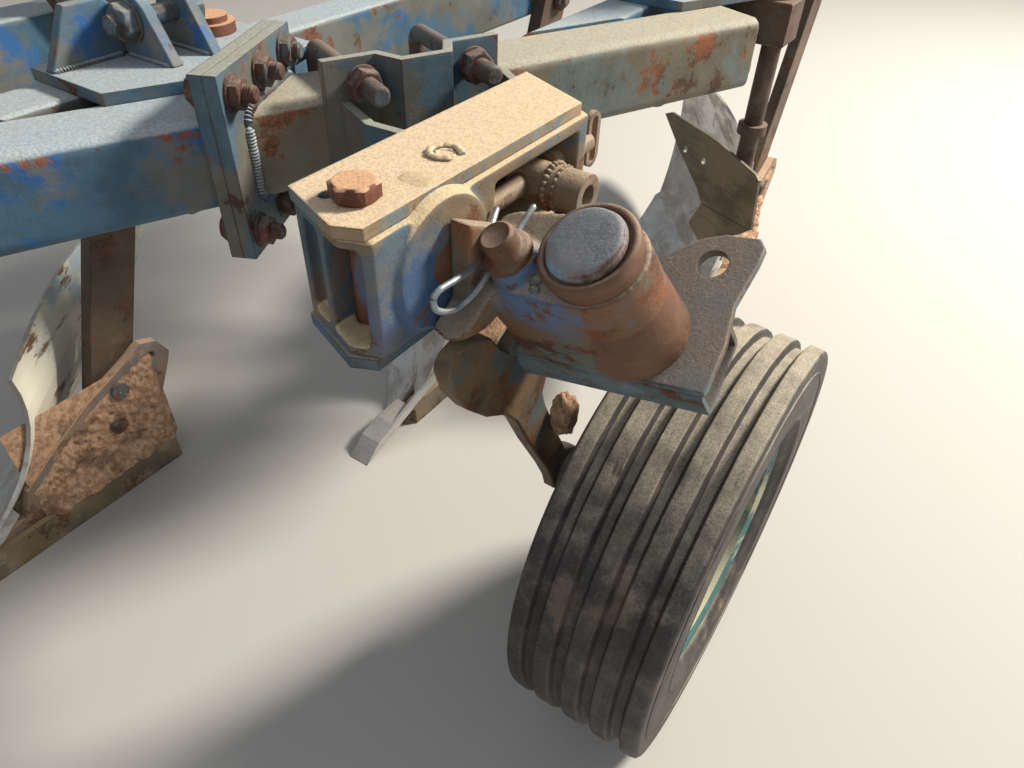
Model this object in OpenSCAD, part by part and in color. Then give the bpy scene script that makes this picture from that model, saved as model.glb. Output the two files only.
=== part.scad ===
// Mounted reversible plough with three bodies a side and a swivelling depth wheel.
// Forward is -Y, the left side is +X and +Z is up; the floor it parks on is z = 0.

/* [Layout] */
// distance from one body to the next along the travel direction
pitch = 800; // [700:10:1000]
// width of one furrow
furrow = 350; // [300:5:450]
// gap between the floor and the main beam
under_beam = 752; // [650:1:850]
// gap left by a running fit, on the radius
run_fit = 0.05; // [0.02:0.01:0.1]
// gap left where two fixed pieces seat
seat = 0.3; // [0.1:0.1:0.5]

/* [Main beam] */
// height and width of the main beam's box section
beam_h = 110; // [90:5:150]
// wall of the main beam
beam_wall = 10; // [6:1:14]
// corner radius of the main beam
beam_r = 16; // [8:1:24]
// length of the rear half of the beam, from the bolted joint
beam_rear_l = 800; // [700:10:1000]
// thickness of one flange plate of the bolted joint
flange_t = 16; // [12:1:25]
// length of a flange plate
flange_l = 208; // [180:2:260]
// height by which the flange plates stand above and below the beam
flange_lip = 55; // [40:1:70]
// angle between the joint's plates and the beam
flange_a = 50; // [40:1:70]

/* [Body carriers] */
// width of a carrier's box section
carrier_w = 80; // [60:5:100]
// wall of a carrier
carrier_wall = 8; // [5:1:12]
// radius of the upright pin that holds a carrier
pivot_r = 25; // [18:1:30]
// thickness of the bracket plates above and below the beam
bracket_t = 15; // [10:1:20]

/* [Plough bodies] */
// thickness of the leg bars
leg_t = 28; // [20:1:35]
// width of the leg bars
leg_w = 84; // [70:1:90]
// thickness of the landside bar
landside_t = 14; // [10:1:20]
// height of the landside bar
landside_h = 58; // [50:1:120]
// thickness of the frog's side plate
frog_t = 20; // [14:1:26]
// thickness of the mouldboard
board_t = 8; // [6:1:12]
// height of the mouldboard's highest point
board_h = 410; // [350:5:450]
// width of the mouldboard's tail beyond the furrow wall
board_w = 435; // [380:5:500]
// thickness of the share
share_t = 10; // [8:1:14]
// depth of the share along its slope
share_z = 52; // [40:1:70]
// thickness of the reversible point
point_t = 20; // [14:1:28]
// width of the reversible point
point_w = 50; // [40:1:70]

/* [Skimmer] */
// radius of the skimmer's stem
stem_r = 19; // [14:1:24]
// thickness of the skimmer's board
skim_t = 8; // [6:1:10]

/* [Depth wheel carrier] */
// thickness of the top and bottom plates
plate_t = 13; // [10:1:20]
// outside height over the two plates
carrier_h = 152; // [140:2:180]
// radius of the trunnion that the arm swings on
trunnion_r = 22; // [18:1:25]
// radius of the boss round the trunnion
boss_r = 68; // [50:1:70]
// radius of the U-bolts' rods
ubolt_r = 12; // [8:1:14]
// distance between the two U-bolts along the beam
ubolt_gap = 150; // [120:5:180]

/* [Depth wheel swivel] */
// outside radius of the inclined swivel tube
tube_r = 47; // [42:1:50]
// radius of the swivel shaft
swivel_r = 30; // [24:1:34]
// length of the swivel tube
tube_l = 163; // [140:1:200]
// rearward lean of the swivel tube
lean_back = 30; // [15:1:35]
// outward lean of the swivel tube
lean_out = 13; // [0:1:18]
// radius of the lock pin
lock_r = 12; // [8:1:14]
// distance from the swivel axis to the lock pin
lock_d = 100; // [90:1:115]

/* [Depth wheel] */
// outside radius of the tyre
tyre_r = 314; // [280:2:340]
// width of the tyre
tyre_w = 195; // [160:5:220]
// radius of the rim's bead seat
rim_r = 165; // [140:1:180]
// depth of the grooves between the ribs
groove = 12; // [6:1:16]
// radius of the stub axle
axle_r = 22; // [18:1:28]

/* [Headstock] */
// radius of the turnover shaft
turn_r = 50; // [40:1:60]
// radius of the lower link pins
link_pin_r = 14; // [11:0.5:18]
// distance between the shoulders of the two lower link pins
link_gap = 825; // [683:1:965]
// height of the top link pin above the lower link pins
mast_h = 610; // [460:5:685]
// radius of the hole for the top link pin
top_pin_r = 12.8; // [9.5:0.1:16.2]

/* [Hidden] */
$fn = 64;
mid_z = under_beam + beam_h / 2;
beam_a = atan(furrow / pitch);
beam_top = beam_h / 2;
beam_x = beam_h / 2 / cos(beam_a);
flange_y = 75;
front_y = -1145;
front_w = 110;
turn_x = -250;
tip_y = 243;
leg_slope = 0.37;
leg_y = 540;
leg_z = 254;
mid_y = leg_y + (mid_z - leg_z) * leg_slope;
frog_x = -landside_t;
leg_x = frog_x - frog_t;
carrier_x = leg_x - leg_t;
share_a = 41;
slope_a = 25;
bend_r = 345;
wheel_x = 675;
wheel_y = 227;
arm_y = -22;
tube_top = [584, 18, mid_z + 44];
plan_near = 447;
plan_far = 340;
plan_front = -119;
half_h = carrier_h / 2;
rim_w = tyre_w - 45;

x_max = wheel_x + tyre_w / 2;
x_min = -furrow - board_w;
y_min = front_y - front_w - 330;
BOARD_N = 14;
BOARD_M = 9;
tail_y = max([for (j = [0:BOARD_M], t = [0, board_t]) board_point(1, j / BOARD_M, t).y]);
y_max = tip_y + pitch + max(tail_y, mid_y + leg_w);
origin_x = -(x_max + x_min) / 2;
origin_y = -(y_max + y_min) / 2;

BODIES = [-1, 0, 1];

blue = [0.36, 0.47, 0.53];
rust = [0.40, 0.24, 0.16];
steel = [0.74, 0.72, 0.69];
dust = [0.68, 0.60, 0.47];
dark = [0.25, 0.20, 0.17];
rubber = [0.17, 0.16, 0.16];
green = [0.22, 0.40, 0.37];
zinc = [0.66, 0.68, 0.70];

// ---- frames of reference

module whole() {
    translate([origin_x, origin_y, 0]) children();
}

// along the main beam: y runs rearwards in the beam, x out of its front face
module in_beam() {
    translate([beam_x, 0, mid_z]) rotate([0, 0, -beam_a]) children();
}

// at the bolted joint: x is square to the plates, y runs along them
module in_flange() {
    in_beam() translate([0, flange_y, 0]) rotate([0, 0, flange_a]) children();
}

// at one body: the origin is the tip of the point on the furrow wall
module at_body(i) {
    translate([i * furrow, tip_y + i * pitch, 0]) children();
}

// the upper bodies are the lower ones mirrored in the beam's middle plane
module upper() {
    translate([0, 0, 2 * mid_z]) mirror([0, 0, 1]) children();
}

// on the inclined swivel axis: z runs up the tube, the origin is its top
module in_tube() {
    translate(tube_top) rotate([0, -lean_out, 0]) rotate([lean_back, 0, 0]) children();
}

// one child at each of the six bodies
module all_bodies() {
    for (i = BODIES) {
        at_body(i) children();
        upper() at_body(i) children();
    }
}

// ---- plain shapes

module round_rect(w, h, r) {
    square([w - 2 * r, h], center = true);
    square([w, h - 2 * r], center = true);
    for (sx = [-1, 1], sy = [-1, 1]) {
        translate([sx * (w / 2 - r), sy * (h / 2 - r)]) circle(r);
    }
}

module box_ring(w, h, wall, r) {
    difference() {
        round_rect(w, h, r);
        round_rect(w - 2 * wall, h - 2 * wall, max(r - wall, 2));
    }
}

// a cylinder along +Y
module rod_y(r, l) {
    rotate([-90, 0, 0]) cylinder(r = r, h = l);
}

// a cylinder along +X
module rod_x(r, l) {
    rotate([0, 90, 0]) cylinder(r = r, h = l);
}

// a flat plate drawn in the Y-Z plane, from x = 0 to x = t
module side_plate(points, t) {
    rotate([90, 0, 90]) linear_extrude(t) polygon(points);
}

function unit(v) = v / norm(v);
function left_of(v) = [-v.y, v.x];
function corner_shift(p, i, t) =
    let (n = len(p),
         a = i == 0 ? unit(p[1] - p[0]) : unit(p[i] - p[i - 1]),
         b = i == n - 1 ? a : unit(p[i + 1] - p[i]),
         m = unit(left_of(a) + left_of(b)))
    p[i] + m * t / (m * left_of(a));

// a bent strip: its centre line's one side is the path, t is its thickness
module strip(path, t, h) {
    far = [for (i = [len(path) - 1:-1:0]) corner_shift(path, i, t)];
    translate([0, 0, -h / 2]) linear_extrude(h) polygon(concat(path, far));
}

// ---- the working surface of a body

function rise(z) = let (c = cos(slope_a) - z / bend_r) bend_r * (sqrt(1 - c * c) - sin(slope_a));
function turn(z) = share_a - 4 * z / board_h;
function face_y(x, z) = sin(share_a) * rise(z) + (cos(share_a) * rise(z) - x) / tan(turn(z)) + 30;
function back_dir(x, z) = unit([
    face_y(x - 1, z) - face_y(x, z),
    1,
    -(face_y(x, z + 1) - face_y(x, z))]);
function face_point(x, z, t) = [x, face_y(x, z), z] + t * back_dir(x, z);
function board_low(u) = share_z + 4 + 25 * u * u;
function board_top(u) = board_h * (0.80 + 0.20 * sin(180 * min(1, 0.12 + u * 0.80)) - 0.16 * pow(u, 6));
function board_x(u, v) = -landside_t - u * (furrow - landside_t + (board_w - furrow) * v);
function board_point(u, v, t) =
    face_point(board_x(u, v), board_low(u) + v * (board_top(u) - board_low(u)), t);

// closes two grids of points of the same size into one solid
module grid_solid(front, back) {
    n = len(front);
    m = len(front[0]);
    pts = concat([for (r = front) for (p = r) p], [for (r = back) for (p = r) p]);
    o = n * m;
    faces = concat(
        [for (i = [0:n - 2], j = [0:m - 2]) each [
            [i * m + j, (i + 1) * m + j, (i + 1) * m + j + 1],
            [i * m + j, (i + 1) * m + j + 1, i * m + j + 1]]],
        [for (i = [0:n - 2], j = [0:m - 2]) each [
            [o + i * m + j, o + (i + 1) * m + j + 1, o + (i + 1) * m + j],
            [o + i * m + j, o + i * m + j + 1, o + (i + 1) * m + j + 1]]],
        [for (i = [0:n - 2]) each [
            [i * m, o + i * m, o + (i + 1) * m],
            [i * m, o + (i + 1) * m, (i + 1) * m],
            [i * m + m - 1, o + (i + 1) * m + m - 1, o + i * m + m - 1],
            [i * m + m - 1, (i + 1) * m + m - 1, o + (i + 1) * m + m - 1]]],
        [for (j = [0:m - 2]) each [
            [j, j + 1, o + j + 1],
            [j, o + j + 1, o + j],
            [(n - 1) * m + j, o + (n - 1) * m + j + 1, (n - 1) * m + j + 1],
            [(n - 1) * m + j, o + (n - 1) * m + j, o + (n - 1) * m + j + 1]]]);
    polyhedron(pts, faces, convexity = 6);
}

module board() {
    grid_solid(
        [for (i = [0:BOARD_N]) [for (j = [0:BOARD_M]) board_point(i / BOARD_N, j / BOARD_M, 0)]],
        [for (i = [0:BOARD_N]) [for (j = [0:BOARD_M]) board_point(i / BOARD_N, j / BOARD_M, board_t)]]);
}

// everything in front of the mouldboard's back, to trim what seats against it
module before_board() {
    back = [for (i = [0:BOARD_N]) [for (j = [0:BOARD_M])
        board_point(i / BOARD_N, j / BOARD_M, board_t + seat)]];
    grid_solid([for (r = back) [for (p = r) p - [0, 400, 0]]], back);
}

// the share's upper edge lies along the mouldboard's lower edge
SHARE_X = concat([-point_w - 4], [for (i = [2:BOARD_N]) board_x(i / BOARD_N, 0)], [-furrow - 12]);
function share_up(x) =
    let (u = min(1, (-x - landside_t) / (furrow - landside_t)))
    board_low(u) - 0.15 - max(0, -x - furrow);
function share_point(x, v, t) = face_point(x, 11 + v * (share_up(x) - 11), t);

module share() {
    grid_solid(
        [for (x = SHARE_X) [for (j = [0:3]) share_point(x, j / 3, 0)]],
        [for (x = SHARE_X) [for (j = [0:3]) share_point(x, j / 3, share_t)]]);
}

// a bar ground to a chisel at each end, held at a slope beside the share
module point_bar() {
    translate([-point_w - 2, 0, 0]) {
        rotate([17, 0, 0]) {
            side_plate([[0, 0], [250, 0], [300, point_t], [52, point_t]], point_w);
        }
    }
}

module point_trimmed() {
    difference() {
        point_bar();
        before_board();
    }
}

module frog_plate() {
    translate([leg_x, 0, 0]) {
        difference() {
            side_plate([[150, 2], [580, 2], [580, 90], [590, 130], [642, 225], [650, 245], [632, 280], [600, 292],
                        [560, 270], [470, 232], [400, 190], [312, 130], [288, 80], [160, 40]], frog_t);
            translate([-1, 612, 256]) rod_x(8.5, frog_t + 2);
        }
    }
}

// the frog's inner bracket that the share and the mouldboard lie on
module frog_wing() {
    difference() {
        union() {
            translate([leg_x, 285, 20]) rotate([0, 0, share_a]) cube([12, 250, 85]);
            translate([leg_x - 170, 470, 60]) cube([170, 14, 60]);
        }
        before_board();
        translate([leg_x, 0, 0]) cube([200, 900, 300]);
    }
}

module leg_bar() {
    half = leg_w / 2 / cos(atan(leg_slope));
    low = 120;
    y_low = leg_y + (low - leg_z) * leg_slope;
    translate([carrier_x, 0, 0]) {
        side_plate([[y_low - half, low], [y_low + half, low],
                    [mid_y + half, mid_z - seat], [mid_y - half, mid_z - seat]], leg_t);
    }
}

// two rods from the leg to the mouldboard's tail
STAYS = [
    // x, z, length
    [-235, 235, 320],
    [-300, 315, 380],
];

module stay_rods() {
    difference() {
        for (s = STAYS) {
            start = [carrier_x, leg_y + (s[1] - leg_z) * leg_slope, s[1] + 28];
            end = face_point(s[0], s[1], 0);
            dir = end - start;
            translate(start) {
                rotate([0, acos(dir.z / norm(dir)), atan2(dir.y, dir.x)]) cylinder(r = 11, h = norm(dir));
            }
        }
        before_board();
        translate([carrier_x, 0, 0]) cube([200, 900, 600]);
    }
}

// ---- nodes: main frame

module beam_front() {
    color(blue) whole() intersection() {
        in_beam() translate([0, -1500, 0]) {
            rotate([-90, 0, 0]) linear_extrude(1900) box_ring(beam_h, beam_h, beam_wall, beam_r);
        }
        in_flange() translate([-3000 - flange_t, -1500, -200]) cube([3000, 3000, 400]);
        translate([-2000, front_y, 0]) cube([4000, 3000, 2000]);
    }
}

module beam_rear() {
    color(blue) whole() difference() {
        union() {
            in_beam() translate([0, 0, 0]) {
                rotate([-90, 0, 0]) linear_extrude(flange_y + beam_rear_l) box_ring(beam_h, beam_h, beam_wall, beam_r);
            }
            in_beam() translate([0, flange_y + beam_rear_l, 0]) {
                rotate([-90, 0, 0]) linear_extrude(6) round_rect(beam_h, beam_h, beam_r);
            }
        }
        in_flange() translate([flange_t - 1000, -500, -200]) cube([1000, 1000, 400]);
    }
}

module flange_plate() {
    holes = [[-1, 1], [-1, -1], [1, 1], [1, -1], [0, 1], [0, -1]];
    difference() {
        translate([0, -flange_l / 2, -beam_top - flange_lip]) {
            cube([flange_t, flange_l, beam_h + 2 * flange_lip]);
        }
        for (h = holes) {
            translate([-1, h[0] * (flange_l / 2 - 28), h[1] * (beam_top + flange_lip - 26)]) rod_x(10.5, flange_t + 2);
        }
    }
}

module flange_front() {
    color(blue) whole() in_flange() translate([-flange_t, 0, 0]) flange_plate();
}

module flange_rear() {
    color(blue) whole() in_flange() flange_plate();
}

module flange_bolts() {
    color(rust) whole() in_flange() {
        for (sy = [-1, 0, 1], sz = [-1, 1]) {
            translate([0, sy * (flange_l / 2 - 28), sz * (beam_top + flange_lip - 26)]) {
                translate([-flange_t - 24, 0, 0]) rod_x(10.4, 2 * flange_t + 48);
                translate([flange_t, 0, 0]) rotate([0, 90, 0]) cylinder(r = 18.5, h = 16, $fn = 6);
                translate([-flange_t - 16, 0, 0]) rotate([0, 90, 0]) cylinder(r = 18.5, h = 16, $fn = 6);
            }
        }
    }
}

// half of space in front of the beam's rear face
module before_rear_face() {
    in_beam() translate([-beam_top, -3000, -1000]) cube([2000, 6000, 2000]);
}

module carrier_bar(i) {
    at_body(i) {
        difference() {
            translate([carrier_x - carrier_w / 2, -tip_y - 420, mid_z]) {
                rotate([-90, 0, 0]) linear_extrude(mid_y + tip_y + 420 + leg_w) {
                    box_ring(carrier_w, beam_h, carrier_wall, 8);
                }
            }
            translate([carrier_x - carrier_w / 2, 170 - tip_y, 0]) cylinder(r = pivot_r + run_fit, h = 2000);
            translate([carrier_x - carrier_w, mid_y, mid_z]) {
                for (dz = [-30, 30]) {
                    translate([-1, 0, dz]) rod_x(12.2, carrier_w + 2);
                }
            }
        }
    }
}

module carriers() {
    color(blue) whole() difference() {
        for (i = BODIES) {
            carrier_bar(i);
        }
        before_rear_face();
    }
}

module pivot_plates() {
    color(blue) whole() difference() {
        pivot_plate_set();
        in_flange() translate([-flange_t - 26, -flange_l / 2 - 1, -400]) {
            cube([2 * flange_t + 52, flange_l + 2, 800]);
        }
        translate([furrow + skim_x, tip_y + pitch + skim_y, 0]) cylinder(r = stem_r + 3, h = 2000);
    }
}

module pivot_plate_set() {
    for (i = BODIES) {
        translate([i * furrow, i * pitch, 0]) {
            for (z = [mid_z + beam_top, mid_z - beam_top - bracket_t]) {
                translate([0, 0, z]) difference() {
                    linear_extrude(bracket_t) {
                        polygon([[-148, -60], [-5, -60], [74, 120], [40, 222], [-148, 222]]);
                    }
                    translate([carrier_x - carrier_w / 2, 170, -1]) cylinder(r = pivot_r + run_fit, h = bracket_t + 2);
                }
            }
        }
    }
}

module pivot_pins() {
    color(rust) whole() for (i = BODIES) {
        translate([i * furrow + carrier_x - carrier_w / 2, i * pitch + 170, mid_z]) {
            cylinder(r = pivot_r, h = beam_h + 2 * bracket_t + 44, center = true);
            for (m = [0, 1]) {
                mirror([0, 0, m]) translate([0, 0, beam_top + bracket_t]) cylinder(r = pivot_r + 9, h = 14);
            }
        }
    }
}

// upright lugs on the bracket with the link's bolts
module link_lugs() {
    color(blue) whole() for (i = BODIES) {
        translate([i * furrow, i * pitch, mid_z]) {
            for (m = [0, 1]) {
                mirror([0, 0, m]) translate([0, 0, beam_top + bracket_t]) {
                    for (y = [-40, 20]) {
                        translate([-125, y, 0]) difference() {
                            rotate([90, 0, 0]) translate([0, 0, -16]) linear_extrude(16) {
                                polygon([[0, 0], [112, 0], [92, 62], [70, 74], [30, 74], [10, 62]]);
                            }
                            translate([50, -1, 44]) rod_y(12.4, 18);
                        }
                    }
                }
            }
        }
    }
}

module link_bolts() {
    color(rust) whole() for (i = BODIES) {
        translate([i * furrow - 75, i * pitch, mid_z]) {
            for (m = [0, 1]) {
                mirror([0, 0, m]) translate([0, -72, beam_top + bracket_t + 44]) {
                    rod_y(12, 128);
                    translate([0, 12, 0]) rotate([-90, 0, 0]) cylinder(r = 23, h = 20, $fn = 6);
                    translate([0, 108, 0]) rotate([-90, 0, 0]) cylinder(r = 23, h = 20, $fn = 6);
                }
            }
        }
    }
}

module front_cross() {
    color(blue) whole() {
        translate([turn_x - 130, front_y - front_w, mid_z]) {
            translate([-150, front_w / 2, 0]) {
                rotate([0, 90, 0]) linear_extrude(430) box_ring(front_w, front_w, beam_wall, 12);
            }
        }
    }
}

module turn_shaft() {
    color(dark) whole() translate([turn_x, front_y - front_w, mid_z]) {
        translate([0, -20, 0]) rod_y(100, 20);
        translate([0, -310, 0]) rod_y(turn_r, 290);
        translate([0, -330, 0]) rod_y(turn_r + 22, 20);
    }
}

// ---- nodes: plough bodies

module legs() {
    color(rust) whole() all_bodies() leg_drilled();
}

module leg_drilled() {
    difference() {
        leg_bar();
        leg_bolt_holes();
    }
}

module leg_bolt_holes() {
    translate([carrier_x - 1, mid_y, mid_z - 30]) rod_x(12.2, leg_t + 2);
    translate([carrier_x - 1, leg_y - 30 * leg_slope, leg_z - 30]) rod_x(10.2, leg_t + 2);
    translate([carrier_x - 1, leg_y - 100 * leg_slope, leg_z - 100]) rod_x(10.2, leg_t + 2);
}

module leg_bolts() {
    color(rust) whole() for (i = BODIES) {
        at_body(i) for (dz = [-30, 30]) {
            translate([carrier_x - carrier_w - 22, mid_y, mid_z + dz]) rod_x(12, carrier_w + leg_t + 44);
            translate([leg_x, mid_y, mid_z + dz]) rotate([0, 90, 0]) cylinder(r = 21, h = 15, $fn = 6);
            translate([carrier_x - carrier_w - 16, mid_y, mid_z + dz]) rotate([0, 90, 0]) cylinder(r = 21, h = 16, $fn = 6);
        }
    }
}

module frog_shape() {
    difference() {
        frog_plate();
        translate([leg_x - 1, leg_y - 30 * leg_slope, leg_z - 30]) rod_x(10.2, frog_t + 2);
        translate([leg_x - 1, leg_y - 100 * leg_slope, leg_z - 100]) rod_x(10.2, frog_t + 2);
        before_board();
    }
}

module frog_bolt_pair() {
    for (dz = [30, 100]) {
        translate([carrier_x - 14, leg_y - dz * leg_slope, leg_z - dz]) {
            rod_x(10, leg_t + frog_t + 14);
            translate([0, 0, 0]) rotate([0, 90, 0]) cylinder(r = 17, h = 14, $fn = 6);
            translate([14 + leg_t + frog_t, 0, 0]) rod_x(17, 9);
        }
    }
}

module frogs() {
    color(rust) whole() all_bodies() frog_shape();
}

module frog_wings() {
    color(rust) whole() all_bodies() frog_wing();
}

module frog_bolts() {
    color(rust) whole() for (i = BODIES) {
        at_body(i) frog_bolt_pair();
        upper() at_body(i) frog_bolt_pair();
    }
}

module landside_bar() {
    translate([-landside_t, 0, 0]) {
        side_plate([[165, 0], [595, 0], [595, landside_h], [200, landside_h], [165, landside_h - 20]], landside_t);
    }
}

module landsides() {
    color(dark) whole() all_bodies() landside_bar();
}

module shares() {
    color(steel) whole() all_bodies() share();
}

module points() {
    color(steel) whole() all_bodies() point_trimmed();
}

module boards() {
    color(steel) whole() all_bodies() board();
}

module stays() {
    color(rust) whole() all_bodies() stay_rods();
}

// ---- nodes: skimmers on the rear body

skim_x = carrier_x + stem_r + 12;
skim_y = -15;

module skim_clamp() {
    color(rust) whole() at_body(1) translate([skim_x, skim_y, mid_z]) {
        difference() {
            translate([-stem_r - 12, -38, -38]) cube([2 * stem_r + 24, 76, 76]);
            translate([0, 0, -60]) cylinder(r = stem_r + run_fit, h = 120);
        }
    }
}

module skim_stem() {
    color(rust) whole() at_body(1) translate([skim_x, skim_y, mid_z]) {
        cylinder(r = stem_r, h = 2 * (mid_z - 420), center = true);
        for (m = [0, 1]) {
            mirror([0, 0, m]) translate([0, 0, -(mid_z - 590)]) cylinder(r = stem_r + 10, h = 22);
        }
    }
}

// the skimmer's board leans back and is turned towards the furrow
module skim_board_shape() {
    translate([skim_x, skim_y, 0]) rotate([0, 0, -42]) {
        translate([0, -stem_r - seat, 420]) {
            rotate([90, 0, 0]) linear_extrude(skim_t) difference() {
                polygon([[-185, 195], [-150, 205], [-20, 165], [48, 95], [52, 60], [40, -40], [20, -150],
                         [-60, -120], [-90, -60], [-130, 60]]);
                for (x = [-90, -50]) {
                    translate([x, 100]) circle(7);
                }
            }
        }
    }
}

module skim_boards() {
    color(dark) whole() {
        at_body(1) skim_board_shape();
        upper() at_body(1) skim_board_shape();
    }
}

// ---- nodes: depth wheel carrier

clamp_u = 262;
hat_path = [[12, -118], [12, -52], [46, -34], [46, 34], [12, 52], [12, 118]];

module clamp_hat() {
    color(blue) whole() in_beam() translate([beam_top, clamp_u, 0]) {
        difference() {
            strip([for (p = hat_path) p], 12, 200);
            for (s = [-1, 1], z = [-1, 1]) {
                translate([-5, s * ubolt_gap / 2, z * (beam_top + ubolt_r + 6)]) rod_x(ubolt_r + 0.4, 90);
            }
        }
    }
}

module ubolt_shape() {
    z = beam_top + ubolt_r + 6;
    back = -beam_h - ubolt_r - 14;
    for (m = [0, 1]) {
        mirror([0, 0, m]) translate([back + 16, 0, z]) rod_x(ubolt_r, 74 - back - 16);
    }
    translate([back, 0, -z + 16]) cylinder(r = ubolt_r, h = 2 * (z - 16));
    for (m = [0, 1]) {
        mirror([0, 0, m]) translate([back + 16, 0, z - 16]) {
            rotate([90, 0, 0]) intersection() {
                rotate_extrude() translate([16, 0]) circle(ubolt_r);
                translate([-60, 0, -30]) cube([60, 60, 60]);
            }
        }
    }
}

module ubolts() {
    color(rust) whole() in_beam() translate([beam_top, clamp_u, 0]) {
        for (s = [-1, 1]) {
            translate([0, s * ubolt_gap / 2, 0]) ubolt_shape();
        }
    }
}

module ubolt_nuts() {
    color(rust) whole() in_beam() translate([beam_top, clamp_u, 0]) {
        for (s = [-1, 1], z = [-1, 1]) {
            translate([24.3, s * ubolt_gap / 2, z * (beam_top + ubolt_r + 6)]) {
                rotate([0, 90, 0]) difference() {
                    cylinder(r = 21, h = 20, $fn = 6);
                    translate([0, 0, -1]) cylinder(r = ubolt_r + run_fit, h = 22);
                }
            }
        }
    }
}

// the band that carries the wheel unit, bent round in front of the hat plate
module wheel_band() {
    color(blue) whole() translate([0, 0, mid_z]) difference() {
        strip([[150, 138], [254, 90], [plan_far + 0.7, 96], [plan_far + 0.7, 300], [250, 360]], 12, 102);
        in_beam_plan();
    }
}

// the beam and its clamp's outline, cut out of the band
module in_beam_plan() {
    translate([beam_x, 0, 0]) rotate([0, 0, -beam_a]) {
        translate([-500, -500, -300]) cube([500 + beam_top + seat, 2000, 600]);
        translate([0, clamp_u - 120, -300]) cube([beam_top + 12 + seat, 240, 600]);
    }
}

PLAN = [[340, -101], [421, -131], [447, -119], [447, 240], [340, 288]];

module plan_plate() {
    linear_extrude(plate_t) polygon(PLAN);
}

module carrier_top_plate() {
    color(dust) whole() translate([0, 0, mid_z + half_h - plate_t]) difference() {
        plan_plate();
        translate([404, -81, -1]) cylinder(r = 12.3, h = 40);
        translate([380, -93, -1]) cylinder(r = 7.5, h = 40);
    }
}

module carrier_bottom_plate() {
    color(blue) whole() translate([0, 0, mid_z - half_h]) difference() {
        plan_plate();
        translate([404, -81, -1]) cylinder(r = 12.3, h = 40);
        translate([380, -93, -1]) cylinder(r = 7.5, h = 40);
    }
}

cast_h = carrier_h - 2 * plate_t;

module carrier_casting() {
    color(dust) whole() translate([0, 0, mid_z]) difference() {
        union() {
            translate([0, 0, -cast_h / 2]) linear_extrude(cast_h) {
                polygon([[341, -99], [421, -128], [452, -116], [452, 250], [341, 300]]);
            }
            translate([452, arm_y, 0]) rod_x(boss_r, 6);
        }
        translate([300, arm_y, 0]) rod_x(trunnion_r + run_fit, 200);
        translate([353, -160, -cast_h / 2 + 12]) cube([30, 72, cast_h - 24]);
        translate([391, -160, -cast_h / 2 + 12]) cube([48, 92, cast_h - 24]);
        translate([404, -81, -100]) cylinder(r = 12.3, h = 200);
        translate([330, 66, -cast_h / 2 + 16]) cube([200, 164, cast_h - 32]);
        translate([spindle_x, 180, 0]) rod_y(12 + run_fit, 200);
        translate([spindle_x, 30, 0]) rod_y(12 + run_fit, 60);
    }
}

module carrier_bolt() {
    color(rust) whole() translate([404, -81, mid_z]) {
        translate([0, 0, -half_h - 34]) cylinder(r = 12, h = carrier_h + 34);
        translate([0, 0, half_h]) cylinder(r = 20.8, h = 15, $fn = 6);
        translate([0, 0, -half_h - 20]) cylinder(r = 20.8, h = 20, $fn = 6);
    }
}

spindle_x = 420;

module spindle() {
    color(rust) whole() translate([spindle_x, 0, mid_z]) {
        translate([0, 50, 0]) rod_y(12, 262);
        translate([0, 214, 0]) rod_y(21, 15.7);
        translate([0, 300, 0]) rotate([0, 90, 0]) {
            linear_extrude(8, center = true) difference() {
                round_rect_at(72, 22);
                round_rect_at(60, 10);
            }
        }
    }
}

module round_rect_at(h, w) {
    translate([0, 22]) round_rect(h, w * 1.4, w * 0.7 - 0.1);
}

module stop_nut() {
    color(rust) whole() translate([spindle_x - 18, 180, mid_z]) difference() {
        union() {
            rod_x(24, 50);
            translate([50, 0, 0]) rod_x(25, 45);
        }
        translate([18, -60, 0]) rod_y(12 + run_fit, 120);
        translate([60, 0, 0]) rod_x(13, 60);
    }
}

module trunnion() {
    color(rust) whole() translate([345, arm_y, mid_z]) {
        rod_x(trunnion_r, arm_x + 44 - 345);
    }
}

// ---- nodes: arm and swivel

arm_x = 458.8;
hub_r = 70;

// a flat outline round two circles of radius ra and rb, l apart along -X
module link_outline(ra, rb, l) {
    k = acos((ra - rb) / l);
    circle(ra);
    translate([-l, 0]) circle(rb);
    polygon([ra * [-cos(k), sin(k)], [-l, 0] + rb * [-cos(k), sin(k)],
             [-l, 0] + rb * [-cos(k), -sin(k)], ra * [-cos(k), -sin(k)]]);
}

module wheel_arm() {
    color(blue) whole() difference() {
        intersection() {
            union() {
                translate([arm_x, arm_y, mid_z]) rod_x(hub_r, 50);
                in_tube() translate([0, 0, -148]) linear_extrude(134) link_outline(tube_r - 2, 34, lock_d);
                in_tube() translate([-lock_d, 8, -20]) cylinder(r = 20, h = 34);
                translate([arm_x, arm_y, mid_z]) side_plate([[0, -40], [140, -70], [224, -50], [226, -25.4], [150, -25.4], [0, 50]], 42);
            }
            translate([arm_x, -500, 300]) cube([400, 1000, 1000]);
        }
        in_tube() translate([0, 0, -200]) cylinder(r = tube_r + seat, h = 300);
        in_tube() translate([-lock_d, 8, -200]) cylinder(r = lock_r + run_fit, h = 300);
        in_tube() translate([-lock_d, 8, 14]) cylinder(r = lock_r + 6, h = 60);
        translate([arm_x - 1, arm_y, mid_z]) rod_x(trunnion_r + run_fit, 46);
    }
}

module swivel_tube() {
    color(rust) whole() in_tube() translate([0, 0, -tube_l]) difference() {
        cylinder(r = tube_r, h = tube_l);
        translate([0, 0, -1]) cylinder(r = swivel_r + run_fit, h = tube_l + 2);
    }
}

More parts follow.
